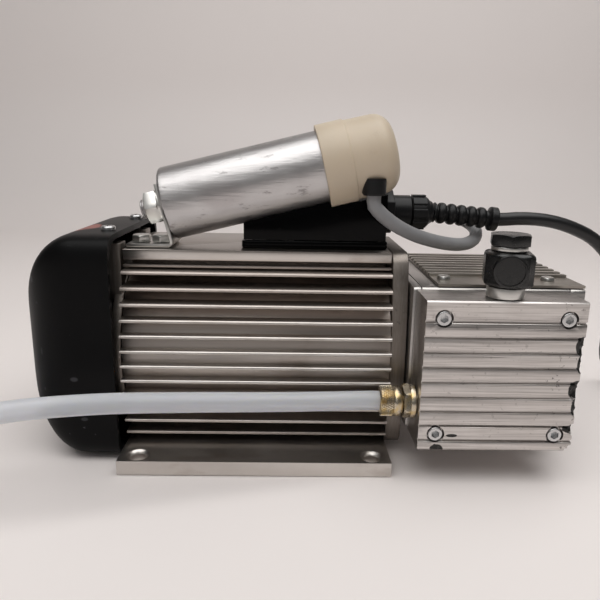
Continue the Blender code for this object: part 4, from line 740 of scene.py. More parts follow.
def row_tree():
    """Copies the piece Count times, Step apart, then the whole row Rows times, Next apart."""
    if "Rows of a piece" in bpy.data.node_groups:
        return bpy.data.node_groups["Rows of a piece"]
    sockets = (("Count", "Int", 2), ("Step", "Vector", None), ("Rows", "Int", 1), ("Next", "Vector", None))
    build, inputs = geometry_tree("Rows of a piece", sockets + (("Material", "Material", None),))
    line = build.add("GeometryNodeMeshLine", {"Count": inputs["Count"], "Offset": inputs["Step"]})
    row = build.add("GeometryNodeInstanceOnPoints", {"Points": line.outputs[0], "Instance": inputs["Geometry"]})
    starts = build.add("GeometryNodeMeshLine", {"Count": inputs["Rows"], "Offset": inputs["Next"]})
    grid = build.add("GeometryNodeInstanceOnPoints", {"Points": starts.outputs[0], "Instance": row.outputs[0]})
    return close_tree(build, grid.outputs[0], inputs)


def ring_tree():
    """Copies the piece Count times around the X axis."""
    if "Ring of a piece" in bpy.data.node_groups:
        return bpy.data.node_groups["Ring of a piece"]
    sockets = (("Count", "Int", 8), ("Centre", "Vector", None), ("Material", "Material", None))
    build, inputs = geometry_tree("Ring of a piece", sockets)
    points = build.add("GeometryNodePoints", {"Count": inputs["Count"], "Position": inputs["Centre"]})
    index = build.add("GeometryNodeInputIndex").outputs[0]
    turn = build.math("DIVIDE", build.times(index, 2 * pi), inputs["Count"])
    angles = build.add("ShaderNodeCombineXYZ", {0: turn})
    ring = build.add(
        "GeometryNodeInstanceOnPoints",
        {"Points": points.outputs[0], "Instance": inputs["Geometry"], "Rotation": angles.outputs[0]},
    )
    return close_tree(build, ring.outputs[0], inputs)


def fin_tree():
    """Stacks one fin up both sides: its tip follows a wide arc and its root follows the round barrel."""
    sockets = (
        ("Count", "Int", 12), ("Lowest", "Float", 0.0098), ("Pitch", "Float", 0.00613), (
            "Half Span", "Float", 0.04
        ),
        ("Arc Radius", "Float", 0.0935), ("Arc Height", "Float", 0.0389), ("Barrel Radius", "Float", 0.036),
        ("Shaft Height", "Float", 0.043), ("Half Neck", "Float", 0.013), ("Material", "Material", None),
    )
    build, inputs = geometry_tree("Fins that follow the barrel", sockets)
    step = build.add("ShaderNodeCombineXYZ", {2: inputs["Pitch"]}).outputs[0]
    start = build.add("ShaderNodeCombineXYZ", {2: inputs["Lowest"]}).outputs[0]
    line = build.add(
        "GeometryNodeMeshLine", {"Count": inputs["Count"], "Start Location": start, "Offset": step}
    )
    made = build.add(
        "GeometryNodeInstanceOnPoints", {"Points": line.outputs[0], "Instance": inputs["Geometry"]}
    )
    real = build.add("GeometryNodeRealizeInstances", {"Geometry": made.outputs[0]})
    spot = build.add("GeometryNodeInputPosition").outputs[0]
    x, y, z = build.add("ShaderNodeSeparateXYZ", {0: spot}).outputs
    rise = build.math("SUBTRACT", z, inputs["Arc Height"])
    inner = build.math("SUBTRACT", build.math("POWER", inputs["Arc Radius"], 2.0), build.times(rise, rise))
    drop = build.math("SUBTRACT", inputs["Arc Radius"], build.math("SQRT", inner))
    tip = build.plus(build.math("SUBTRACT", inputs["Half Span"], drop), y)
    lift = build.math("SUBTRACT", z, inputs["Shaft Height"])
    chord = build.math("SUBTRACT", build.math("POWER", inputs["Barrel Radius"], 2.0), build.times(lift, lift))
    side = build.math("SQRT", build.math("MAXIMUM", chord, 0.0))
    root = build.math("SUBTRACT", build.math("MAXIMUM", side, inputs["Half Neck"]), 0.0008)
    is_root = build.math("LESS_THAN", y, -0.0015)
    out = build.plus(build.times(is_root, root), build.times(build.math("SUBTRACT", 1.0, is_root), tip))
    place = build.add("ShaderNodeCombineXYZ", {0: x, 1: out, 2: z}).outputs[0]
    right = build.add("GeometryNodeSetPosition", {"Geometry": real.outputs[0], "Position": place}).outputs[0]
    left = build.add("GeometryNodeTransform", {"Geometry": right, "Rotation": (0.0, 0.0, pi)}).outputs[0]
    both = build.add("GeometryNodeJoinGeometry")
    build.tree.links.new(right, both.inputs[0])
    build.tree.links.new(left, both.inputs[0])
    return close_tree(build, both.outputs[0], inputs)


def repeat(obj, tree, finish, **values):
    """Runs a geometry tree on an object and keeps the plain mesh that it makes. Lengths are in millimetres."""
    modifier = obj.modifiers.new("repeat", "NODES")
    modifier.node_group = tree
    values["Material"] = finish
    for item in tree.interface.items_tree:
        if item.in_out != "INPUT" or item.name.replace(" ", "_") not in values:
            continue
        value = values[item.name.replace(" ", "_")]
        if item.socket_type == "NodeSocketVector":
            value = [v * MM for v in value]
        elif item.socket_type == "NodeSocketFloat":
            value = value * MM
        modifier[item.identifier] = value
    return bake(obj)


# ---- settings -----------------------------------------------------------------------------------------
def length(name, default, note):
    return FloatProperty(name=name, description=note, default=default, min=0.0, unit="LENGTH")


def tint(name, default, note):
    return FloatVectorProperty(
        name=name, description=note, default=default, size=3, min=0, max=1, subtype="COLOR"
    )


class PumpMotorSettings(bpy.types.PropertyGroup):
    fin_count: IntProperty(name="Fins", description="Fins on each side of the motor", default=12, min=1, max=30)
    fin_pitch: length("Fin Pitch", 0.00613, "Height from one fin to the next")
    fin_thickness: length("Fin Thickness", 0.0015, "Thickness of a fin at its tip")
    fin_span: length("Fin Span", 0.08, "Width over the widest pair of fins")
    cover_wall: length("Cover Wall", 0.0024, "Thickness of the fan cover")


class PumpHeadSettings(bpy.types.PropertyGroup):
    rib_pitch: length("Rib Pitch", 0.0061, "Width from one rib of the plate to the next")
    groove_count: IntProperty(
        name="Box Grooves", description="Grooves across the filter box", default=9, min=1, max=30
    )
    flute_count: IntProperty(
        name="Nut Flutes", description="Ridges around the hose nut", default=40, min=6, max=90
    )


class PumpCordSettings(bpy.types.PropertyGroup):
    cable_diameter: length("Lead Diameter", 0.006, "Outer diameter of the mains lead")
    hose_length: length("Suction Hose", 1.0, "Whole length of the suction hose")
    hose_diameter: length("Hose Diameter", 0.0076, "Outer diameter of the suction hose")


class PumpStageSettings(bpy.types.PropertyGroup):
    lens: FloatProperty(name="Lens", description="Focal length of the camera", default=35.27, unit="CAMERA")
    softbox: FloatProperty(
        name="Softbox", description="Strength of the large light overhead", default=15.5, unit="POWER"
    )
    fill: FloatProperty(
        name="Fill", description="Strength of the light from the front", default=0.5, unit="POWER"
    )
    room: FloatProperty(name="Room", description="Strength of the light from all round", default=0.09, min=0.0)
    floor: tint("Floor Colour", (0.90, 0.845, 0.825), "Colour of the table and the wall behind it")


# ---- stage ---------------------------------------------------------------------------------------------
class PUMP_OT_stage(bpy.types.Operator):
    """Makes the floor and wall, the lights and the camera"""

    bl_idname = "pump.stage"
    bl_label = "Stage"

    def execute(self, context):
        settings = context.scene.pump_stage
        self.floor(settings)
        self.lights(context, settings)
        self.camera(context, settings)
        return {"FINISHED"}

    def floor(self, settings):
        f = Finish("stage paper", 0.55)
        cloud = f.noise(6, detail=3)
        base = tuple(settings.floor)
        f.colour(f.mix(cloud, tuple(c * 0.985 for c in base), base))
        f.rough(cloud, 0.42, 0.6)
        bm = bmesh.new()
        section = [(-900.0, -0.2), (620.0, -0.2)]
        section += [(620 + 260 * sin(radians(t)), 259.8 - 260 * cos(radians(t))) for t in range(6, 91, 6)]
        section.append((880.0, 1900.0))
        rows = [[bm.verts.new((x, y, z)) for y, z in section] for x in (-1900.0, 1900.0)]
        for i in range(len(section) - 1):
            bm.faces.new((rows[0][i], rows[1][i], rows[1][i + 1], rows[0][i + 1]))
        bmesh.ops.scale(bm, vec=(MM, MM, MM), verts=bm.verts)
        mesh = bpy.data.meshes.new("stage")
        bm.to_mesh(mesh)
        bm.free()
        mesh.shade_smooth()
        mesh.materials.append(f.material)
        stage = bpy.data.objects.new("stage", mesh)
        bpy.context.scene.collection.objects.link(stage)
        stage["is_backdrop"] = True

    def lights(self, context, settings):
        world = bpy.data.worlds.new("room")
        world.use_nodes = True
        world.node_tree.nodes["Background"].inputs[0].default_value = (1.0, 0.985, 0.97, 1.0)
        world.node_tree.nodes["Background"].inputs[1].default_value = settings.room
        context.scene.world = world
        context.scene.view_settings.view_transform = "Standard"
        lamps = (
            ("softbox", settings.softbox, (1.8, 1.2), (0.05, -0.30, 1.10), (0.0, -0.20, 0.0)),
            ("fill", settings.fill, (0.9, 0.5), (-0.35, -1.05, 0.55), (0.0, 0.0, 0.05)),
        )
        for name, power, size, spot, aim in lamps:
            data = bpy.data.lights.new(name, "AREA")
            data.shape = "RECTANGLE"
            data.size, data.size_y = size
            data.energy = power
            data.color = (1.0, 0.99, 0.975)
            lamp = bpy.data.objects.new(name, data)
            lamp.location = spot
            lamp.rotation_euler = (Vector(aim) - Vector(spot)).to_track_quat("-Z", "Y").to_euler()
            context.scene.collection.objects.link(lamp)

    def camera(self, context, settings):
        yaw, pitch, roll = radians(1.04), radians(14.01), radians(1.03)
        ahead = Vector((sin(yaw) * cos(pitch), cos(yaw) * cos(pitch), -sin(pitch)))
        right = Vector((cos(yaw), -sin(yaw), 0.0))
        up = right.cross(ahead)
        across = right * cos(roll) + up * sin(roll)
        upward = up * cos(roll) - right * sin(roll)
        data = bpy.data.cameras.new("camera")
        data.lens = settings.lens
        data.sensor_width = 36.0
        data.clip_start = 0.01
        camera = bpy.data.objects.new("camera", data)
        turn = Matrix((across, upward, -ahead)).transposed().to_4x4()
        camera.matrix_world = Matrix.Translation((0.013115, -0.262251, 0.124663)) @ turn
        context.scene.collection.objects.link(camera)
        context.scene.camera = camera


# ---- motor ---------------------------------------------------------------------------------------------
class PUMP_OT_motor_housing(bpy.types.Operator):
    """Makes the finned housing: barrel, base, top plate and fins"""

    bl_idname = "pump.motor_housing"
    bl_label = "Motor Housing"

    def core(self):
        side = [(52.5, 0.0), (52.5, 6.0), (13.4, 6.0), (13.0, 6.5)]
        low = asin(13 / BARREL)
        steps = 30
        for i in range(steps + 1):
            turn = low + (pi - 2 * low) * i / steps
            side.append((BARREL * sin(turn), SHAFT - BARREL * cos(turn)))
        side += [(13.0, 81.3), (13.5, 81.8), (27.0, 81.8), (27.0, MOTOR_TOP)]
        core = mesh_object(
            "motor_housing_skin", slab(side + [(-y, z) for y, z in reversed(side)], "X", -MOTOR_END, MOTOR_END),
            extruded_aluminium(),
        )
        holes = bmesh.new()
        turned(holes, rod(BARREL_BORE, -60, 60), "X", (0.0, SHAFT), 96)
        for place in FOOT_HOLES:
            turned(holes, [(0, -1), (3.3, -1), (3.3, 4.7), (4.6, 6.0), (5.6, 7.0), (0, 7.0)], "Z", place, 40)
        for place in STRAP_SCREWS:
            turned(holes, rod(2.2, 80, 88), "Z", place, 24)
        cut(core, holes)
        return soften(core, 0.35, 2)

    def fin(self, half):
        bm = bmesh.new()
        outline = [(-4.0, half), (-4.0, -half), (-0.9, -half)]
        outline += [(-half + half * sin(radians(t)), -half * cos(radians(t))) for t in range(0, 181, 20)]
        outline += [(-0.9, half)]
        prism(bm, outline, "X", -54.4, 54.4)
        return mesh_object("fin", bm, extruded_aluminium())

    def execute(self, context):
        settings = context.scene.pump_motor
        core = self.core()
        fins = self.fin(settings.fin_thickness / MM / 2)
        values = {"Pitch": settings.fin_pitch / MM, "Half_Span": settings.fin_span / MM / 2}
        repeat(fins, fin_tree(), extruded_aluminium(), Count=settings.fin_count, **values)
        lip = bmesh.new()
        for side in (-1, 1):
            low, high = sorted((side * 24.0, side * 27.9))
            box(lip, (-54.4, low, 79.0), (54.4, high, 79.9))
        lips = soften(mesh_object("top_fin_lip", lip, extruded_aluminium()), 0.25, 2)
        merge(core, fins, lips)
        settle(core, "cast_aluminium", "motor_housing")
        return {"FINISHED"}


class PUMP_OT_end_plates(bpy.types.Operator):
    """Makes the flange between motor and pump and the plate at the fan end"""

    bl_idname = "pump.end_plates"
    bl_label = "End Plates"

    def execute(self, context):
        for node in ("pump_end_flange", "fan_end_shield"):
            dressed(node, shaded_flange_aluminium(), 0.4, "cast_aluminium")
        return {"FINISHED"}


class PUMP_OT_fan_cover(bpy.types.Operator):
    """Makes the soft-cornered black cover over the fan, with its vents and screws"""

    bl_idname = "pump.fan_cover"
    bl_label = "Fan Cover"

    def ring(self, inset, draw, count=120):
        half = 42.5 - inset - 23 * draw
        low, high = 1 + inset + 42 * draw, 93 - inset - 38 * draw
        points = []
        for i in range(count):
            angle = 2 * pi * i / count
            angle += 0.12 * sin(4 * angle)
            c, s = cos(angle), sin(angle)
            reach = (abs(c) ** 12 + abs(s) ** 12) ** (-1 / 12)
            points.append((half * c * reach, (low + high) / 2 + (high - low) / 2 * s * reach))
        return points

    def skin(self, bm, inset):
        stations = [(COVER_RIM, 0.0), (COVER_BEND, 0.0)]
        for i in range(1, 17):
            turn = pi / 2 * i / 16
            stations.append((COVER_BEND - (COVER_DOME - inset) * sin(turn), 1 - cos(turn)))
        rings = [[bm.verts.new((x, y, z)) for y, z in self.ring(inset, draw)] for x, draw in stations]
        bridge(bm, rings)
        bm.faces.new(rings[-1])
        return rings[0]

    def execute(self, context):
        wall = context.scene.pump_motor.cover_wall / MM
        bm = bmesh.new()
        rims = [self.skin(bm, inset) for inset in (0.0, wall)]
        bridge(bm, rims)
        cover = mesh_object("fan_cover_skin", bm, satin_black())
        vents = bmesh.new()
        for i in range(5):
            z = 49 + (i - 2) * 5.2
            prism(vents, rounded(-17, 17, z - 1.4, z + 1.4, 1.35, 4), "X", -98, -89.8)
        for y in (-22, 22):
            turned(vents, rod(1.7, 86, 96), "Z", (COVER_SCREW[0], y), 24)
        cut(cover, vents)
        settle(cover, "black_plastic", "fan_cover")
        self.screws()
        return {"FINISHED"}

    def screws(self):
        bm = bmesh.new()
        profile = [(0, 81), (1.4, 81), (1.4, 93.1), (2.9, 93.1), (2.9, 93.9)]
        profile += arc((1.9, 93.9), 1.0, 0, 90, 4) + [(0, 95.0)]
        turned(bm, profile, "Z", COVER_SCREW, 40)
        screw = mesh_object("fan_cover_screws_skin", bm, bright_steel())
        slot = bmesh.new()
        box(slot, (-61.35, -24.0, 94.2), (-60.65, -20.0, 96))
        box(slot, (-63.0, -22.35, 94.2), (-61.36, -21.65, 96))
        box(slot, (-60.64, -22.35, 94.2), (-59.0, -21.65, 96))
        cut(screw, slot)
        repeat(screw, row_tree(), bright_steel(), Count=2, Step=(0, 44, 0))
        settle(screw, "zinc_plate", "fan_cover_screw_1", "fan_cover_screw_2")


# ---- pump head -----------------------------------------------------------------------------------------
class PUMP_OT_head(bpy.types.Operator):
    """Makes the pump's body with its two covers"""

    bl_idname = "pump.head"
    bl_label = "Pump Head"

    def execute(self, context):
        for node in ("pump_inner_cover", "pump_cylinder", "pump_outer_cover"):
            dressed(node, pump_aluminium(), 0.3, "machined_aluminium")
        return {"FINISHED"}


class PUMP_OT_cooling_plate(bpy.types.Operator):
    """Makes the ribbed plate over the head and its two screws"""

    bl_idname = "pump.cooling_plate"
    bl_label = "Cooling Plate"

    def execute(self, context):
        settings = context.scene.pump_head
        pitch = settings.rib_pitch / MM
        base = mesh_object(
            "cooling_plate_skin", block((PLATE_START, -36.2, 74.5), (HEAD_END, 31.5, 75.5)),
            cooling_plate_aluminium(),
        )
        wide = soften(
            mesh_object(
                "wide_rib", block((PLATE_START, -36.2, 75.0), (HEAD_END, -28.6, 76.5)),
                cooling_plate_aluminium(),
            ),
            0.25, 2,
        )
        ribs = soften(
            mesh_object(
                "rib", block((PLATE_START, -25.5, 75.0), (HEAD_END, -22.5, 76.5)), cooling_plate_aluminium()
            ),
            0.3, 2,
        )
        repeat(ribs, row_tree(), cooling_plate_aluminium(), Count=10, Step=(0, pitch, 0))
        merge(base, wide, ribs)
        holes = bmesh.new()
        for x, y in (PLATE_SCREW, (PLATE_SCREW[0] + PLATE_SCREW_STEP, PLATE_SCREW[1])):
            turned(holes, [(0, 70), (1.7, 70), (1.7, 75.3), (2.95, 75.3), (2.95, 78), (0, 78)], "Z", (x, y), 32)
        cut(base, holes)
        settle(base, "machined_aluminium", "cooling_plate")
        bm = bmesh.new()
        profile = [(0, 69.2), (1.4, 69.2), (1.4, 75.6), (2.75, 75.6), (2.75, 76.3), (2.4, 76.9), (0, 77.0)]
        turned(bm, profile, "Z", PLATE_SCREW, 32)
        screw = mesh_object("cooling_plate_screws_skin", bm, zinc_plate())
        cut(screw, block((73.0, -26.2, 76.3), (80.0, -25.5, 78)))
        repeat(screw, row_tree(), zinc_plate(), Count=2, Step=(PLATE_SCREW_STEP, 0, 0))
        settle(screw, "zinc_plate", "cooling_plate_screw_1", "cooling_plate_screw_2")
        return {"FINISHED"}


class PUMP_OT_filter_box(bpy.types.Operator):
    """Makes the grooved filter box with its four screws"""

    bl_idname = "pump.filter_box"
    bl_label = "Filter Box"

    def section(self, grooves):
        """The box's side view: a straight back and a front of ribs with small round edges."""
        front, back, low, high = BOX_FRONT, -38.2, BOX_BOTTOM, BOX_TOP
        points = [(back, low), (back, high), (front + 0.5, high), (front, high - 0.5)]
        for i in range(grooves):
            z = high - 7.9 - i * 5.91
            points += [(front, z + 0.85), (front + 0.12, z + 0.55), (front + 0.4, z + 0.40)]
            points += [(front + 1.0, z + 0.30), (front + 1.0, z - 0.30), (front + 0.4, z - 0.40)]
            points += [(front + 0.12, z - 0.55), (front, z - 0.85)]
        return points + [(front, low + 0.5), (front + 0.5, low)]

    def execute(self, context):
        shell = mesh_object(
            "filter_box_skin",
            slab(self.section(context.scene.pump_head.groove_count), "X", BOX_START, BOX_END),
            filter_box_aluminium(),
        )
        holes = bmesh.new()
        box(holes, (74.0, -52.7, 18.3), (86.0, -37.0, 69.7))
        box(holes, (88.8, -52.7, 18.3), (111.5, -37.0, 69.7))
        for place in BOX_SCREWS:
            turned(
                holes, [(0, -60), (3.4, -60), (3.4, -53.4), (1.7, -53.4), (1.7, -37), (0, -37)], "Y", place, 48
            )
        cut(shell, holes)
        ports = bmesh.new()
        turned(ports, rod(4.3, 60, 76), "X", INLET, 40)
        turned(ports, rod(4.4, 67, 76), "Z", BANJO, 40)
        cut(shell, ports)
        self.chip(shell)
        soften(shell, 0.22, 2, 50)
        settle(shell, "machined_aluminium", "filter_box")
        self.screws()
        return {"FINISHED"}

    def chip(self, shell):
        """Knocks small bites out of the right end's front edge and the lower corner."""
        bites = (
            (122.2, -56.9, 58.6, 1.5), (122.4, -56.9, 55.6, 1.9), (122.6, -57.0, 52.0, 1.6),
            (122.8, -57.0, 48.8, 1.9),
        )
        bites += (
            (122.6, -57.0, 41.2, 1.7), (121.8, -57.0, 38.2, 2.4), (122.6, -57.0, 34.6, 1.9),
            (122.9, -57.0, 30.6, 1.7),
        )
        bites += (
            (122.6, -56.9, 23.6, 2.0), (69.4, -57.2, 14.6, 1.8), (71.6, -57.2, 14.2, 1.5),
            (122.3, -56.7, 14.4, 2.2),
        )
        for k, (x, y, z, size) in enumerate(bites):
            bm = bmesh.new()
            bmesh.ops.create_icosphere(bm, subdivisions=2, radius=size)
            for i, vert in enumerate(bm.verts):
                vert.co *= 0.8 + 0.35 * abs(sin(7.3 * i + 2.1 * k))
                vert.co.z *= 1.35
                vert.co += Vector((x, y, z))
            cut(shell, bm)

    def screws(self):
        x, z = 69.7, 21.0
        bm = bmesh.new()
        profile = [(0, -56.7), (2.3, -56.7)] + arc((2.35, -56.3), 0.4, -90, 0, 3)
        profile += [(2.75, -53.6), (1.4, -53.6), (1.4, -28.6), (0, -28.6)]
        turned(bm, profile, "Y", (x, z), 48)
        screw = mesh_object("filter_screws_skin", bm, bright_steel())
        cut(screw, slab(polygon(2.9, centre=(x, z)), "Y", -58, -54.3))
        repeat(screw, row_tree(), bright_steel(), Count=2, Step=(46.1, 0, 0), Rows=2, Next=(0, 0, 46.0))
        nodes = [f"filter_screw_{i}" for i in range(1, 5)]
        settle(screw, "steel", *nodes)


# ---- fittings on the filter box ------------------------------------------------------------------------
class PUMP_OT_banjo(bpy.types.Operator):
    """Makes the black banjo fitting: collar, body, washer and bolt"""

    bl_idname = "pump.banjo"
    bl_label = "Banjo Fitting"

    def execute(self, context):
        x, y = BANJO
        for name, node, low, high, radius in (
            ("collar", "banjo_collar", 74.0, 78.2, 6.9), ("washer", "banjo_washer", 91.5, 93.2, 6.6),
        ):
            bm = bmesh.new()
            profile = [(4.5, low), (radius - 0.4, low)] + arc((radius - 0.4, low + 0.4), 0.4, -90, 0, 3)
            profile += arc((radius - 0.4, high - 0.4), 0.4, 0, 90, 3) + [(4.5, high)]
            turned(bm, profile, "Z", (x, y), 72)
            settle(mesh_object(f"banjo_{name}_skin", bm, zinc_plate()), "nickel_brass", node)
        self.body(x, y)
        self.bolt(x, y)
        return {"FINISHED"}

    def body(self, x, y):
        turn = Matrix.Translation((x, y, 0)) @ Matrix.Rotation(radians(-12.5), 4, "Z")
        bm = bmesh.new()
        half = 8.5
        outline = [(-half, -half + 5), (-half + 5, -half), (half - 2.2, -half), (half, -half + 2.2)]
        outline += [(half, half - 5), (half - 5, half), (-half + 5, half), (-half, half - 5)]
        prism(bm, outline, "Z", 78.5, 91.2)
        body = soften(mesh_object("banjo_body_skin", bm, anodised_black(), turn), 1.7, 3, 60)
        boss = bmesh.new()
        profile = [(0, -8.9), (5.7, -8.9)] + arc((5.7, -8.6), 0.3, -90, 0, 3) + [(6.0, -7.0), (0, -7.0)]
        turned(boss, profile, "Y", (0.0, BANJO_PORT_HEIGHT), 64)
        cut(body, boss, "UNION", turn)
        cut(body, lathe(rod(4.5, 77, 93), "Z", (0, 0), 40), matrix=turn)
        cut(
            body, lathe([(0, -10), (5.3, -10), (5.1, -8.3), (0, -8.3)], "Y", (0.0, BANJO_PORT_HEIGHT), 64),
            matrix=turn,
        )
        settle(body, "black_plastic", "banjo_body")

    def bolt(self, x, y):
        bm = bmesh.new()
        profile = [(0, 93.5), (7.6, 93.5), (7.7, 93.9), (7.7, 97.2), (6.7, 97.6), (0, 97.6)]
        turned(bm, profile, "Z", (x, y), 72)
        bolt = mesh_object("banjo_bolt_skin", bm, anodised_black())
        cut(bolt, slab(polygon(13.5, centre=(x, y), phase=0.25), "Z", 92, 99), "INTERSECT")
        soften(bolt, 0.25, 2)
        cut(bolt, lathe(rod(4.2, 69.7, 94.5), "Z", (x, y), 40), "UNION")
        settle(bolt, "black_plastic", "banjo_bolt")


class PUMP_OT_hose_fitting(bpy.types.Operator):
    """Makes the hose fitting on the box's left end and its knurled nut"""

    bl_idname = "pump.hose_fitting"
    bl_label = "Hose Fitting"

    def execute(self, context):
        centre = INLET
        bm = bmesh.new()
        profile = [(0, 50.1), (2.2, 50.1), (2.8, 51.4), (2.8, 60.5)]
        profile += [(6.2, 60.5)] + arc((6.2, 60.9), 0.4, 270, 360, 2) + [(6.6, 62.3), (6.2, 62.7)]
        profile += [(4.1, 62.7), (4.1, 74.0), (0, 74.0)]
        turned(bm, profile, "X", centre, 56)
        fitting = mesh_object("hose_fitting_skin", bm, nickel_brass())
        hexagon = mesh_object(
            "hexagon",
            lathe([(0, 57.9), (6.3, 57.9), (6.9, 58.5), (6.9, 60.2), (6.4, 60.6), (0, 60.6)], "X", centre, 56),
            nickel_brass(),
        )
        cut(hexagon, slab(polygon(12.0, centre=centre, phase=0.3), "X", 57, 62), "INTERSECT")
        merge(fitting, hexagon)
        settle(fitting, "nickel_brass", "hose_fitting")
        self.nut(context, centre)
        return {"FINISHED"}

    def nut(self, context, centre):
        bm = bmesh.new()
        profile = [(3.3, 48.8), (5.2, 48.8), (5.7, 49.3), (5.7, 53.6), (5.5, 53.9), (5.9, 54.3)]
        profile += [(6.1, 55.0), (6.1, 56.3), (5.4, 57.4), (3.3, 57.5)]
        turned(bm, profile, "X", centre, 72)
        nut = mesh_object("hose_nut_skin", bm, nickel_brass())
        for turn in (-1, 1):
            bm = bmesh.new()
            steps = 9
            for i in range(steps + 1):
                x = 49.2 + 4.5 * i / steps
                angle = turn * 0.42 * (i / steps - 0.5)
                for radius, side in ((5.55, -0.055), (5.98, 0.0), (5.55, 0.055)):
                    bm.verts.new((x, radius * sin(angle + side), radius * cos(angle + side)))
            bm.verts.ensure_lookup_table()
            for i in range(steps):
                a, b = bm.verts[3 * i : 3 * i + 3], bm.verts[3 * i + 3 : 3 * i + 6]
                bm.faces.new((a[0], a[1], b[1], b[0]))
                bm.faces.new((a[1], a[2], b[2], b[1]))
                bm.faces.new((a[2], a[0], b[0], b[2]))
            bm.faces.new((bm.verts[0], bm.verts[2], bm.verts[1]))
            bm.faces.new(bm.verts[-3:])
            ridge = mesh_object("ridge", bm, nickel_brass())
            count = context.scene.pump_head.flute_count
            repeat(ridge, ring_tree(), nickel_brass(), Count=count, Centre=(0, 0, 0))
            ridge.data.transform(Matrix.Translation((0, centre[0] * MM, centre[1] * MM)))
            merge(nut, ridge)
        settle(nut, "nickel_brass", "hose_nut")


# ---- terminal box --------------------------------------------------------------------------------------
def can_matrix():
    """Puts a shape turned about +X on the can's tilted axis, with its closed end at zero."""
    return Matrix.Translation(CAN_END) @ Matrix.Rotation(-CAN_TILT, 4, "Y")


class PUMP_OT_terminal_box(bpy.types.Operator):
    """Makes the glossy terminal box under the capacitor"""

    bl_idname = "pump.terminal_box"
    bl_label = "Terminal Box"

    def execute(self, context):
        base = mesh_object(
            "terminal_box_base_skin", slab(rounded(-7.1, 53.6, -20, 27, 1.6, 5), "Z", 86.3, 89.3), gloss_black()
        )
        cut(base, block((-4.1, -17, 87.9), (50.6, 24, 91)))
        soften(base, 0.5, 3)
        settle(base, "black_gloss", "terminal_box_base")
        lid = mesh_object(
            "terminal_box_lid_skin",
            slab([(-6.3, 89.6), (52.8, 89.6), (52.8, 113.0), (-6.3, 97.3)], "Y", -19.2, 26.2), gloss_black(),
        )
        cut(lid, slab([(-4.1, 88.0), (50.6, 88.0), (50.6, 104.2), (-4.1, 89.7)], "Y", -17, 24))
        trough = bmesh.new()
        profile = [(0, 10), (15.5, 10), (15.5, 65.5), (17.6, 65.5), (17.6, 110), (0, 110)]
        turned(trough, profile, "X", segments=96)
        cut(lid, trough, matrix=can_matrix())
        holes = bmesh.new()
        turned(holes, rod(6.3, 44.6, 54), "X", GLAND, 48)
        turned(holes, rod(4.5, 44.6, 54), "X", LEAD_GLAND, 40)
        cut(lid, holes)
        soften(lid, 0.9, 3, 50)
        settle(lid, "black_gloss", "terminal_box_lid")
        return {"FINISHED"}


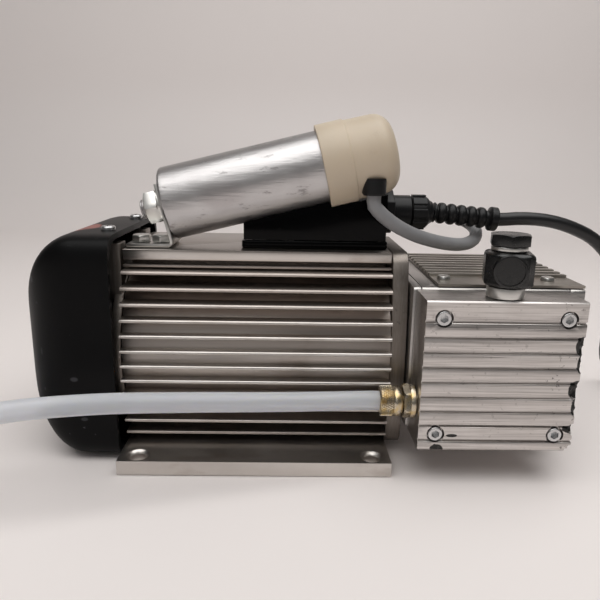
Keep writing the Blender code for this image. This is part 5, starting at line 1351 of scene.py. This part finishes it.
class PUMP_OT_glands(bpy.types.Operator):
    """Makes the two cable glands and the ribbed bend relief"""

    bl_idname = "pump.glands"
    bl_label = "Cable Glands"

    def execute(self, context):
        centre = GLAND
        bm = bmesh.new()
        profile = [(0, 45.9), (6.0, 45.9), (6.0, 54), (7.4, 54), (7.4, 66.2), (7.0, 66.6), (0, 66.6)]
        turned(bm, profile, "X", centre, 56)
        gland = mesh_object("mains_gland_body_skin", bm, moulded_black())
        hexagon = soften(
            mesh_object(
                "hexagon", slab(polygon(17.0, centre=centre), "X", GLAND_FACE, GLAND_FACE + 5.6),
                moulded_black(),
            ),
            0.6, 2, 50,
        )
        merge(gland, hexagon)
        settle(gland, "black_plastic", "mains_gland_body")
        bm = bmesh.new()
        profile = [(0, 66.9), (6.9, 66.9), (7.2, 67.3), (7.2, 72.2)] + arc((4.0, 72.2), 3.2, 0, 62, 6)
        profile += [(4.6, 76.5), (0, 76.6)]
        turned(bm, profile, "X", centre, 56)
        nut = mesh_object("mains_gland_nut_skin", bm, moulded_black())
        grip = mesh_object("grip", slab(rounded(-1.9, 1.9, 6.4, 7.7, 0.5, 3), "X", 67.2, 73.2), moulded_black())
        repeat(grip, ring_tree(), moulded_black(), Count=8, Centre=(0, 0, 0))
        grip.data.transform(Matrix.Translation((0, centre[0] * MM, centre[1] * MM)))
        merge(nut, grip)
        settle(nut, "black_plastic", "mains_gland_nut")
        self.relief()
        self.lead_gland()
        return {"FINISHED"}

    def relief(self):
        """Bulging rings on a thin sleeve, with a collar where the cable comes out."""
        place = Matrix.Translation((77.2, *GLAND)) @ Matrix.Rotation(radians(5.5), 4, "Y")
        bm = bmesh.new()
        profile = [(0, 0), (4.4, 0), (4.5, 0.6), (3.5, 1.2), (3.45, 24.6), (3.9, 25.2)]
        profile += [(5.2, 25.8)] + arc((4.9, 26.3), 0.5, -60, 0, 3)
        profile += [(5.4, 28.6)] + arc((5.0, 28.6), 0.4, 0, 90, 3)
        profile += [(3.9, 29.1), (3.6, 29.6), (0, 29.6)]
        turned(bm, profile, "X", segments=56)
        sleeve = mesh_object("mains_bend_relief_skin", bm, moulded_black(), place)
        bm = bmesh.new()
        profile = [(3.2, 1.6)] + [
            (3.4 + 1.35 * sin(radians(t)), 3.6 - 2.0 * cos(radians(t))) for t in range(10, 171, 16)
        ]
        turned(bm, profile + [(3.2, 5.6)], "X", segments=56)
        bulge = mesh_object("bulge", bm, moulded_black(), Matrix.Identity(4))
        repeat(bulge, row_tree(), moulded_black(), Count=5, Step=(4.55, 0, 0))
        move = Matrix.Diagonal((MM, MM, MM, 1)) @ place @ Matrix.Diagonal((1000, 1000, 1000, 1))
        bulge.data.transform(move)
        merge(sleeve, bulge)
        settle(sleeve, "black_plastic", "mains_bend_relief")

    def lead_gland(self):
        centre = LEAD_GLAND
        bm = bmesh.new()
        profile = [(0, 46.9), (4.2, 46.9), (4.2, 55), (5.5, 55), (5.5, 60.5)] + arc((3.2, 60.5), 2.3, 0, 70, 5)
        turned(bm, profile + [(3.4, 64.0), (0, 64.1)], "X", centre, 48)
        gland = mesh_object("lead_gland_skin", bm, moulded_black())
        merge(
            gland,
            soften(
                mesh_object(
                    "hexagon", slab(polygon(12.0, centre=centre), "X", GLAND_FACE, GLAND_FACE + 4.2),
                    moulded_black(),
                ),
                0.4, 2, 50,
            ),
        )
        settle(gland, "black_plastic", "lead_gland")


# ---- capacitor -----------------------------------------------------------------------------------------
class PUMP_OT_capacitor(bpy.types.Operator):
    """Makes the capacitor's can, cap, strap, nut and screws"""

    bl_idname = "pump.capacitor"
    bl_label = "Capacitor"

    def execute(self, context):
        self.can()
        self.cap()
        self.strap()
        self.nut()
        self.screws()
        return {"FINISHED"}

    def can(self):
        bm = bmesh.new()
        profile = [(0, -11.2), (3.5, -11.2), (4, -10.8)]
        for i in range(13):
            x = -10.6 + 0.8 * i
            profile += [(4.0, x + 0.1), (3.72, x + 0.4), (4.0, x + 0.7)]
        profile += [(4.0, 0), (13.4, 0), (14.0, -0.15)] + arc((14.0, 1.0), 1.0, -80, 0, 4)
        profile += [(15.0, 2.0 + 73.0 * i / 24) for i in range(25)] + [(0, 75.0)]
        turned(bm, profile, "X", segments=128)
        settle(
            mesh_object("capacitor_can_skin", bm, can_aluminium(), can_matrix()), "can_aluminium",
            "capacitor_can",
        )

    def cap(self):
        bm = bmesh.new()
        profile = [(0, 75.4), (15.35, 75.4), (15.35, 66.0), (16.7, 66.0)] + arc((16.7, 66.4), 0.4, -90, 0, 3)
        profile += [(17.1, 77.1), (16.9, 77.5), (16.55, 77.7), (16.45, 78.2)]
        profile += arc((8.6, 88.6), 7.7, 0, 90, 12) + [(4, 96.7), (0, 96.8)]
        turned(bm, profile, "X", segments=120)
        cap = mesh_object("capacitor_cap_skin", bm, cream_plastic(), can_matrix())
        bush = bmesh.new()
        profile = [(0, 108.8), (4.2, 108.8), (4.8, 109.6), (4.8, 115.5), (0, 115.5)]
        turned(bush, profile, "Z", (46.3, -24.2), 40)
        merge_finishes(cap, mesh_object("bush", bush, moulded_black()))
        settle(cap, "cream_plastic", "capacitor_cap")

    def strap(self):
        """Bent strip: a foot on the motor, an easy bend and a leg flat against the can's end."""
        along, up = Vector((cos(CAN_TILT), sin(CAN_TILT))), Vector((-sin(CAN_TILT), cos(CAN_TILT)))
        right = Vector((CAN_END[0], CAN_END[2])) - along * 0.3
        floor, thick = 86.3, 1.4
        low = right - up * 13.4
        line = [right + up * 9.0, right - up * 10.0, low, Vector((low.x + 0.25, floor + 2.6))]
        line += [
            Vector((low.x + 0.05, floor + 1.3)), Vector((low.x - 0.5, floor + 0.45)),
            Vector((low.x - 1.5, floor)),
        ]
        line.append(Vector((-54.0, floor)))
        inner = []
        for i, point in enumerate(line):
            before, after = line[max(i - 1, 0)], line[min(i + 1, len(line) - 1)]
            run = (after - before).normalized()
            inner.append(point + Vector((run.y, -run.x)) * thick)
        bm = bmesh.new()
        outline = [tuple(p) for p in line] + [tuple(p) for p in reversed(inner)]
        prism(bm, outline, "Y", -23.1, -3.1)
        strap = mesh_object("capacitor_strap_skin", bm, zinc_plate())
        holes = bmesh.new()
        for place in STRAP_SCREWS:
            turned(holes, rod(2.2, 85, 90), "Z", place, 24)
        cut(strap, holes)
        cut(strap, lathe(rod(4.2, -6, 6), "X", segments=40), matrix=can_matrix())
        soften(strap, 0.3, 2, 50)
        settle(strap, "zinc_plate", "capacitor_strap")

    def nut(self):
        bm = bmesh.new()
        profile = [(4.2, -9.2), (5.4, -9.2), (7.5, -8.2), (7.5, -3.8), (6.5, -3.1), (4.2, -3.1)]
        turned(bm, profile, "X", segments=64)
        nut = mesh_object("capacitor_nut_skin", bm, zinc_plate(), can_matrix())
        cut(nut, slab(polygon(13.0, phase=0.0), "X", -11, -2), "INTERSECT", can_matrix())
        soften(nut, 0.2, 2)
        merge(
            nut,
            mesh_object(
                "washer",
                lathe([(4.2, -3.2), (7.5, -3.2), (7.6, -2.6), (7.5, -2.0), (4.2, -2.0)], "X", segments=64),
                zinc_plate(), can_matrix(),
            ),
        )
        settle(nut, "zinc_plate", "capacitor_nut")

    def screws(self):
        x, y = STRAP_SCREWS[0]
        bm = bmesh.new()
        profile = [(0, 82.3), (1.9, 82.3), (1.9, 88.0), (4.0, 88.0), (4.0, 90.4), (3.3, 90.8), (0, 90.8)]
        turned(bm, profile, "Z", (x, y), 40)
        screw = mesh_object("strap_screws_skin", bm, zinc_plate())
        cut(screw, slab(polygon(7.0, centre=(x, y)), "Z", 80, 92), "INTERSECT")
        soften(screw, 0.15, 2)
        repeat(screw, row_tree(), zinc_plate(), Count=2, Step=(STRAP_SCREWS[1][0] - x, 0, 0))
        settle(screw, "zinc_plate", "strap_screw_1", "strap_screw_2")


# ---- cords ---------------------------------------------------------------------------------------------
def smooth(route, spacing):
    """Evenly spaced points on one smooth curve through the route's own points."""
    points = [Vector(p) for p in route]
    ends = [points[0] * 2 - points[1]] + points + [points[-1] * 2 - points[-2]]
    dense = []
    for before, one, two, after in zip(ends, ends[1:], ends[2:], ends[3:]):
        for i in range(16):
            t = i / 16
            b = (2 * before - 5 * one + 4 * two - after) * t**2
            dense.append((2 * one + (two - before) * t + b + (3 * one - before - 3 * two + after) * t**3) / 2)
    return spread_out(dense + [points[-1]], spacing)


def spread_out(dense, spacing):
    lengths = [0.0]
    for one, two in zip(dense, dense[1:]):
        lengths.append(lengths[-1] + (two - one).length)
    count = max(2, round(lengths[-1] / spacing))
    found, k = [], 0
    for i in range(count + 1):
        want = lengths[-1] * i / count
        while k < len(lengths) - 2 and lengths[k + 1] < want:
            k += 1
        found.append(dense[k].lerp(dense[k + 1], (want - lengths[k]) / (lengths[k + 1] - lengths[k])))
    return found


def run_length(points):
    return sum((b - a).length for a, b in zip(points, points[1:]))


def ease(value):
    value = min(max(value, 0.0), 1.0)
    return value * value * (3 - 2 * value)


def wind(centre, start, radii, layers, heights, inward, climb, turns):
    """A coil, clockwise from above: inwards on the floor, up a layer, then outwards on the turns below."""
    points = []
    for i in range(int(turns * 40) + 1):
        done = i / 40
        angle = radians(start) - 2 * pi * done
        share = min(max((done - inward) / climb, 0.0), 1.0)
        if done <= inward:
            radius = radii[0] + (radii[1] - radii[0]) * done / inward
        else:
            out = max(done - inward - climb, 0.0) / layers
            radius = radii[1] + (radii[0] - radii[1]) * min(out, 1.0) - 0.5 * sin(pi * share)
        height = heights[0] + (heights[1] - heights[0]) * ease(share)
        points.append(Vector((centre[0] + radius * cos(angle), centre[1] + radius * sin(angle), height)))
    return points


def tie(name, points, centre, angle, radius, finish):
    """A band pulled round all of a coil's strands at one angle, flat where the coil lies on it."""
    near = []
    for point in points:
        away = (atan2(point.y - centre[1], point.x - centre[0]) - radians(angle) + pi) % (2 * pi) - pi
        reach = hypot(point.x - centre[0], point.y - centre[1])
        if abs(away) < radians(7) and reach < 60:
            near.append((reach, point.z))
    low, high = min(r for r, _ in near) - radius, max(r for r, _ in near) + radius
    top = max(z for _, z in near) + radius
    bm = bmesh.new()
    inner = rounded(low - 0.1, high + 0.1, 0.27, top + 0.1, radius * 0.8, 6)
    outer = rounded(low - 1.0, high + 1.0, 0.03, top + 1.0, radius * 0.8 + 0.9, 6)
    rings = []
    for outline, along in ((outer, -2.4), (outer, 2.4), (inner, 2.4), (inner, -2.4)):
        rings.append([bm.verts.new((a, along, z)) for a, z in outline])
    bridge(bm, rings + rings[:1])
    box(bm, (high + 0.6, -2.9, top - 6.5), (high + 3.6, 2.9, top - 1.5))
    turn = Matrix.Translation((centre[0], centre[1], 0)) @ Matrix.Rotation(radians(angle), 4, "Z")
    return mesh_object(name, bm, finish, turn)


def tube(name, points, radius, bore, finish, sides=28):
    """A hose along a path, with an open bore at its far end."""
    bm = bmesh.new()
    side = Vector((0, 0, 1))
    frames = []
    for i, point in enumerate(points):
        run = (points[min(i + 1, len(points) - 1)] - points[max(i - 1, 0)]).normalized()
        side = (side - run * side.dot(run)).normalized()
        frames.append((point, side.copy(), run.cross(side)))
    last = len(points) - 1
    order = [(i, radius) for i in range(last + 1)] + [(last, bore), (last - 5, bore)]
    rings = []
    for i, size in order:
        point, up, across = frames[i]
        turns = [2 * pi * k / sides for k in range(sides)]
        rings.append([bm.verts.new(point + up * size * cos(t) + across * size * sin(t)) for t in turns])
    bridge(bm, rings)
    bm.faces.new(rings[0])
    bm.faces.new(rings[-1])
    return mesh_object(name, bm, finish, sharp=50)


def cord_curve(name, points, diameter, finish):
    curve = bpy.data.curves.new(name, "CURVE")
    curve.dimensions = "3D"
    curve.bevel_depth = diameter / 2 * MM
    curve.bevel_resolution = 5
    curve.use_fill_caps = True
    spline = curve.splines.new("POLY")
    spline.points.add(len(points) - 1)
    for point, place in zip(spline.points, points):
        point.co = (*(place * MM), 1.0)
    spline.use_smooth = True
    curve.materials.append(finish)
    obj = bpy.data.objects.new(name, curve)
    bpy.context.scene.collection.objects.link(obj)
    return obj


LEAD_ROUTE = (
    (46.3, -24.2, 109.4), (46.3, -24.2, 107.2), (46.4, -24.2, 105.0), (48.2, -24.1, 102.8), (51.6, -23.4, 99.8),
    (58.1, -21.2, 95.6), (67.7, -16.0, 91.3), (80.7, -8.0, 87.6), (91.0, -0.6, 86.3),
    (98.2, 7.4, 87.8), (100.0, 14.2, 91.6), (94.8, 19.4, 95.4), (85.0, 20.8, 97.9),
    (74.0, 19.6, 98.9), (63.9, 19.4, 99.0),
)
CABLE_ROUTE = (
    (106.4, 4.0, 97.1), (113.0, 4.0, 97.4), (119.0, 4.0, 97.8), (131.0, 4.3, 96.8),
    (143.0, 5.6, 93.4), (155.5, 8.8, 87.4), (167.3, 13.6, 76.6), (176.2, 20.8, 61.0),
    (180.5, 27.7, 47.3), (182.8, 34.9, 35.2), (186.4, 41.7, 22.9), (192.8, 47.6, 11.9),
    (203.2, 51.0, 5.2), (216.0, 52.0, 3.3), (228.0, 52.0, 3.3),
)
HOSE_ROUTE = (
    (48.9, -47.2, 30.6), (42.0, -47.4, 30.6), (30.0, -49.4, 31.0), (5.0, -54.5, 32.6), (-25.0, -61.0, 35.0),
    (-55.0, -67.8, 37.0), (-84.0, -75.2, 37.0), (-102.0, -78.0, 32.5), (-117.0, -79.2, 23.3),
    (-130.0, -79.7, 12.8), (-141.0, -79.8, 5.8), (-148.6, -79.8, 4.1), (-162.0, -79.8, 4.1),
    (-176.0, -79.8, 4.1),
)
CABLE_CENTRE = (228.0, 10.0)
HOSE_CENTRE = (-176.0, -34.0)
PLUG_END = (270.0, -14.7, 18.8)


class PUMP_OT_mains_lead(bpy.types.Operator):
    """Makes the mains lead with its coil, its tie and its plug"""

    bl_idname = "pump.mains_lead"
    bl_label = "Mains Lead"

    def execute(self, context):
        diameter = context.scene.pump_cords.cable_diameter / MM
        wound = wind(CABLE_CENTRE, 90, (42.0, 24.0), 2.917, (3.3, 9.3), 3.0, 0.333, 6.25)
        for i in range(1, 15):
            rise = ease((15 - i) / 14)
            wound[-i].z += 3.2 * rise * rise
        tail = [wound[-1], wound[-1].lerp(Vector(PLUG_END), 0.32), Vector(PLUG_END) + Vector((0, 8, -0.6))]
        tail.append(Vector(PLUG_END) + Vector((0, -1.5, 0)))
        points = smooth(CABLE_ROUTE, 5)[:-1] + wound + smooth([wound[-2]] + tail, 4)[1:]
        points = spread_out(points, 4.5)
        cable = cord_curve("mains_lead", points, diameter, black_jacket())
        settle(cable, "black_jacket", "mains_cable", "mains_cable_coil")
        band = tie("mains_lead_tie", points, CABLE_CENTRE, 200, diameter / 2, soft_tie())
        settle(band, "black_plastic")
        plug = self.plug()
        print("mains lead", round(run_length(points), 1), "mm")
        tuple(c * MM for c in CABLE_ROUTE[0])
        run_length(points) * MM
        return {"FINISHED"}

    def plug(self):
        """A round moulded plug with finger grips, a ribbed relief and two sleeved pins."""
        x, start, z = PLUG_END
        body, face = start - 22.0, start - 52.0
        bm = bmesh.new()
        profile = [(0, start), (4.0, start), (4.4, start - 0.6), (5.6, body + 1.5)]
        profile += [(7.2, body + 0.4), (11.6, body), (13.4, body - 1.0), (16.2, body - 4.2)]
        profile += [(18.1, body - 8.6), (18.5, body - 12), (18.5, face + 1.0)]
        profile += arc((17.5, face + 1.0), 1.0, 0, -90, 4)
        profile += [(17.0, face), (16.6, face + 1.2), (0, face + 1.2)]
        turned(bm, profile, "Y", (x, z), 72)
        plug = mesh_object("mains_plug_skin", bm, moulded_black())
        outline = [(3.4, start - 3.0), (5.6, start - 3.0), (5.6, start - 4.6), (3.4, start - 4.6)]
        rib = soften(mesh_object("rib", lathe(outline, "Y", (x, z), 48), moulded_black()), 0.4, 2)
        repeat(rib, row_tree(), moulded_black(), Count=5, Step=(0, -3.4, 0))
        grips = bmesh.new()
        for side in (-1, 1):
            for i in range(4):
                place = body - 12.5 - 3.6 * i
                low, high = sorted((side * 17.9, side * 20))
                box(grips, (x + low, place - 0.9, z - 8), (x + high, place + 0.9, z + 8))
        cut(plug, grips)
        pins = bmesh.new()
        for side in (-1, 1):
            centre = (x + side * 9.5, z)
            profile = [(0, face + 2), (2.0, face + 2), (2.0, face - 10), (2.4, face - 10.2), (2.4, face - 17)]
            turned(pins, profile + arc((1.2, face - 17.8), 1.2, 0, -90, 4) + [(0, face - 19)], "Y", centre, 28)
        pin = mesh_object("pins", pins, nickel_brass())
        merge(plug, rib)
        merge_finishes(plug, pin)
        settle(plug, "black_plastic", "mains_plug")
        return plug


class PUMP_OT_suction_hose(bpy.types.Operator):
    """Makes the suction hose with its coil and tie"""

    bl_idname = "pump.suction_hose"
    bl_label = "Suction Hose"

    def execute(self, context):
        settings = context.scene.pump_cords
        radius, total = settings.hose_diameter / MM / 2, settings.hose_length / MM
        lead_in = smooth(HOSE_ROUTE, 5)
        wound = wind(HOSE_CENTRE, -90, (45.8, 38.2), 1.6, (4.1, 11.7), 1.0, 0.28, 3.0)
        points = lead_in[:-1] + wound
        while run_length(points) > total:
            points.pop()
        points = spread_out(points, 4.2)
        hose = tube("suction_hose_skin", points, radius, 2.8, hose_plastic())
        settle(hose, "clear_hose", "suction_hose", "suction_hose_coil")
        band = tie("suction_hose_tie", points, HOSE_CENTRE, 150, radius, soft_tie())
        settle(band, "black_plastic")
        print("hose", round(run_length(points), 1), "mm")
        tuple(
                c * MM for c in HOSE_ROUTE[0]
            )
        run_length(points) * MM
        return {"FINISHED"}


class PUMP_OT_capacitor_lead(bpy.types.Operator):
    """Makes the grey lead between the capacitor's cap and the terminal box"""

    bl_idname = "pump.capacitor_lead"
    bl_label = "Capacitor Lead"

    def execute(self, context):
        points = smooth(LEAD_ROUTE, 2.5)
        lead = cord_curve("capacitor_lead_skin", points, 5.8, grey_jacket())
        settle(lead, "grey_jacket", "capacitor_lead")
        print("lead", round(run_length(points), 1), "mm")
        tuple(c * MM for c in LEAD_ROUTE[0])
        run_length(points) * MM
        return {"FINISHED"}


# ---- what is inside ------------------------------------------------------------------------------------
class PUMP_OT_inside(bpy.types.Operator):
    """Gives the parts inside the motor, the pump and the filter box their finishes"""

    bl_idname = "pump.inside"
    bl_label = "Inner Parts"

    def execute(self, context):
        steel = ["motor_shaft", "pump_rotor", "rotor_key"]
        steel += [f"{end}_end_bearing_{ring}_ring" for end in ("fan", "pump") for ring in ("outer", "inner")]
        finishes = {
            bright_steel: steel,
            laminated_steel: ["stator_core", "rotor_core"],
            copper_winding: ["stator_winding"],
            graphite: [f"vane_{i}" for i in range(1, 5)],
            black_rubber: ["shaft_seal", "filter_gasket"],
            moulded_black: ["cooling_fan"],
            filter_felt: ["filter_element"],
            white_plastic: ["terminal_block"],
        }
        for finish, nodes in finishes.items():
            for node in nodes:
                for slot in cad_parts[node].material_slots:
                    slot.material = finish()
        return {"FINISHED"}


# ---- the add-on ----------------------------------------------------------------------------------------
SETTINGS = (
    ("pump_stage", PumpStageSettings, "Stage"),
    ("pump_cords", PumpCordSettings, "Cords"),
    ("pump_motor", PumpMotorSettings, "Motor"),
    ("pump_head", PumpHeadSettings, "Pump Head"),
)
OPERATORS = (
    PUMP_OT_stage, PUMP_OT_mains_lead, PUMP_OT_suction_hose, PUMP_OT_capacitor_lead,
    PUMP_OT_motor_housing, PUMP_OT_end_plates, PUMP_OT_fan_cover, PUMP_OT_head,
    PUMP_OT_cooling_plate, PUMP_OT_filter_box, PUMP_OT_banjo, PUMP_OT_hose_fitting,
    PUMP_OT_terminal_box, PUMP_OT_glands, PUMP_OT_capacitor, PUMP_OT_inside,
)


class PUMP_PT_build(bpy.types.Panel):
    """Lists the pump's settings and the steps that build it"""

    bl_label = "Vacuum Pump"
    bl_idname = "PUMP_PT_build"
    bl_space_type = "VIEW_3D"
    bl_region_type = "UI"
    bl_category = "Vacuum Pump"

    def draw(self, context):
        for attribute, group, label in SETTINGS:
            area = self.layout.box()
            area.label(text=label)
            for name in group.__annotations__:
                area.prop(getattr(context.scene, attribute), name)
        for operator in OPERATORS:
            self.layout.operator(operator.bl_idname)


CLASSES = tuple(group for _, group, _ in SETTINGS) + OPERATORS + (PUMP_PT_build,)


def register():
    for cls in CLASSES:
        bpy.utils.register_class(cls)
    for attribute, group, _ in SETTINGS:
        setattr(bpy.types.Scene, attribute, PointerProperty(type=group))


def unregister():
    for attribute, _, _ in SETTINGS:
        delattr(bpy.types.Scene, attribute)
    for cls in reversed(CLASSES):
        bpy.utils.unregister_class(cls)


def main():
    register()
    for operator in OPERATORS:
        getattr(bpy.ops.pump, operator.bl_idname.split(".")[1])()
    boxes = {"cad": CAD_BOX, "visual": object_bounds()}
    {key: [[float(c) for c in corner] for corner in value] for key, value in boxes.items()}


if __name__ == "__main__":
    main()
